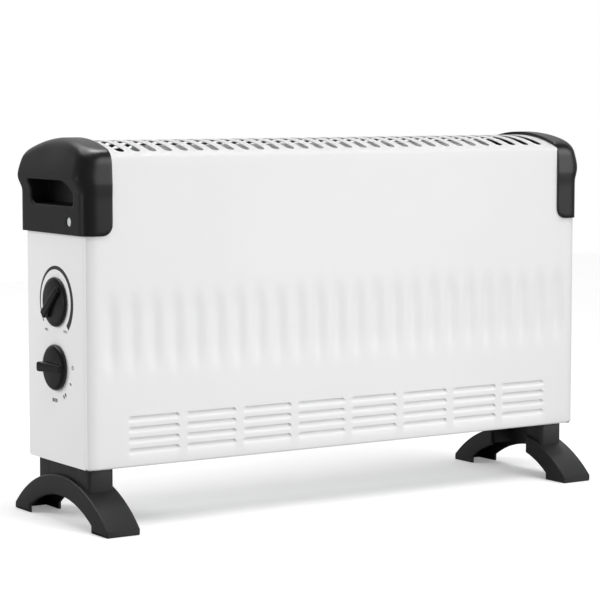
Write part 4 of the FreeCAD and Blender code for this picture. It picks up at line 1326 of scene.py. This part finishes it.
# %% Finish by slot
slot_finishes = {
    "casing_paint": white_paint, "black_plastic": cap_plastic, "zinc_steel": zinc,
    "bright_steel": bright_steel, "bright_sheet": bright_sheet, "ceramic": ceramic,
    "brass": brass, "switch_plastic": switch_plastic, **wire_finishes,
}
node_slots = {entry["node"]: entry["material_slot"] for entry in frame["record"]["subparts"]}
for node, item in frame["nodes"].items():
    item.data.materials.clear()
    item.data.materials.append(slot_finishes[node_slots[node]])
print("finished", len(node_slots), "nodes by slot")

# %% [markdown]
# ## Floor and world
# The heater stands on a plain white floor in a white room. The floor and the world look white to the
# camera only, so that the white does not flood the object with light, and the floor keeps a soft
# shadow. Reflections see a dim room with a pale backdrop and a few soft round glows in it, which draw
# the highlights on the black mouldings, as soft boxes do in a studio.

# %% Floor
floor_half = 2.6
floor_glow = 0.23
floor_bounce = (0.60, 0.60, 0.60, 1)
floor_mirror = (0.22, 0.22, 0.22, 1)
white, black = grey(255), grey(0)
floor_mesh = bpy.data.meshes.new("floor")
corners = [(-floor_half, -floor_half, 0), (floor_half, -floor_half, 0), (floor_half, floor_half, 0),
           (-floor_half, floor_half, 0)]
floor_mesh.from_pydata(corners, [], [(0, 1, 2, 3)])
floor = bpy.data.objects.new("floor", floor_mesh)
bpy.context.scene.collection.objects.link(floor)
floor_material, floor_shader, floor_shade = start_finish("white_floor")
seen = floor_shade.node("ShaderNodeLightPath", output="Is Camera Ray")
mirrored_ray = floor_shade.node("ShaderNodeLightPath", output="Is Glossy Ray")
bounce = mirrored_ray.between(floor_bounce, floor_mirror)
feed(floor_shader, floor_shade, seen.between(bounce, white))
floor_emission = floor_shader.inputs["Emission Color"]
floor_shade.tree.links.new(seen.between(black, white).socket, floor_emission)
floor_shader.inputs["Emission Strength"].default_value = floor_glow
floor_shader.inputs["Roughness"].default_value = 0.9
floor_shader.inputs["Specular IOR Level"].default_value = 0.0
floor_mesh.materials.append(floor_material)
print("floor", 2 * floor_half, "m wide")

# %% World
room_light = 0.37
room_dim = 0.18
world = bpy.data.worlds.new("studio")
bpy.context.scene.world = world
world.use_nodes = True
world.node_tree.nodes.clear()
sky = Shade(world.node_tree)
ray = {kind: sky.node("ShaderNodeLightPath", output="Is " + kind + " Ray")
       for kind in ("Camera", "Glossy", "Transmission")}
looking = sky.node("ShaderNodeTexCoord", output="Generated")


def glow(direction, inner, outer, level):
    """A soft round light in a direction, full inside one angle in degrees and gone at another."""
    direction = np.array(direction) / np.linalg.norm(direction)
    toward = sky.node("ShaderNodeVectorMath", {"operation": "DOT_PRODUCT"},
                      {0: looking, 1: direction.tolist()}, output="Value")
    ends = {"Value": toward, "From Min": math.cos(math.radians(outer)),
            "From Max": math.cos(math.radians(inner)), "To Min": 0.0, "To Max": level}
    return sky.node("ShaderNodeMapRange", {"interpolation_type": "SMOOTHSTEP"}, ends)


backdrop = glow((0.545, 0.838, 0.0), inner=35, outer=68, level=0.40)
soft_top = glow((0.0, 0.36, 0.93), inner=16, outer=34, level=3.2)
soft_right = glow((0.62, -0.72, 0.32), inner=9, outer=25, level=4.4)
soft_left = glow((-0.92, 0.39, -0.08), inner=5, outer=14, level=1.3)
ridge_light = glow((0.35, 0.25, 0.90), inner=3, outer=11, level=14.0)
behind = room_dim + backdrop + soft_top + soft_right + soft_left + ridge_light
mirror = sky.math("MINIMUM", ray["Glossy"] + ray["Transmission"], 1.0)
strength = ray["Camera"] + (1 - ray["Camera"]) * (mirror * behind + (1 - mirror) * room_light)
background = sky.node("ShaderNodeBackground", sockets={"Color": white, "Strength": strength})
world_out = world.node_tree.nodes.new("ShaderNodeOutputWorld")
world.node_tree.links.new(background.socket, world_out.inputs["Surface"])
print("world of", len(world.node_tree.nodes), "nodes")

# %% [markdown]
# ## Lamps
# A wide, soft sun above and in front lights the top and the floor and leaves the shadow under the
# casing. A panel near the right end lights the front at a slant that grows towards the left, which
# brings out the flutes there, and a panel behind the left end lights the side, so the corner between
# them stays darker. Reflections don't see the lamps, only the glows of the world.

# %% Lamps
sun_width = 42
panels = {
    "front_panel": {"place": (0.28, -1.25, 0.50), "aim": (-0.26, 0, 0.14), "side": 0.8,
                    "spread": 120, "power": 3.1},
    "left_panel": {"place": (-1.6, 1.2, 0.7), "aim": (-0.3, 0, 0.25), "side": 0.9,
                   "spread": 180, "power": 21.0},
}


def add_lamp(name, kind, place, aim, strength):
    """A lamp at a place in metres that shines at an aim."""
    lamp = bpy.data.lights.new(name, kind)
    lamp.energy = strength
    made = bpy.data.objects.new(name, lamp)
    made.location = place
    x, y, z = np.array(place) - aim
    made.rotation_euler = (math.atan2(math.hypot(x, y), z), 0, math.atan2(x, -y))
    made.visible_glossy = False
    bpy.context.scene.collection.objects.link(made)
    return lamp


overhead = add_lamp("overhead", "SUN", place=(0.25, -1.15, 2.9), aim=(0, 0, 0.2), strength=1.22)
overhead.angle = math.radians(sun_width)
for name, setting in panels.items():
    panel = add_lamp(name, "AREA", setting["place"], setting["aim"], setting["power"])
    panel.size = setting["side"]
    panel.spread = math.radians(setting["spread"])
print("a sun and", len(panels), "panels")

# %% [markdown]
# ## Camera
# The camera stands at the front left, a little above the caps, and looks slightly down through a long
# lens. Its place, its angles and the lens were fitted together, so that the casing's edges and the toes
# of the feet fall where the picture has them.

# %% Camera
lens = 137.1
sensor = 36.0
camera_place = (-1327.8, -2011.9, 430.4)
camera_pitch = 5.28
camera_yaw = 33.115
camera_data = bpy.data.cameras.new("camera")
camera_data.lens = lens
camera_data.sensor_width = sensor
camera_data.clip_end = 50.0
camera = bpy.data.objects.new("camera", camera_data)
camera.location = (np.array(camera_place) + (middle_x, 0, 0)) * MM
camera.rotation_euler = (math.radians(90 - camera_pitch), 0, math.radians(-camera_yaw))
bpy.context.scene.collection.objects.link(camera)
bpy.context.scene.camera = camera
bpy.context.scene.view_settings.view_transform = "Standard"
print("camera at", np.round(camera.location, 3), "m")
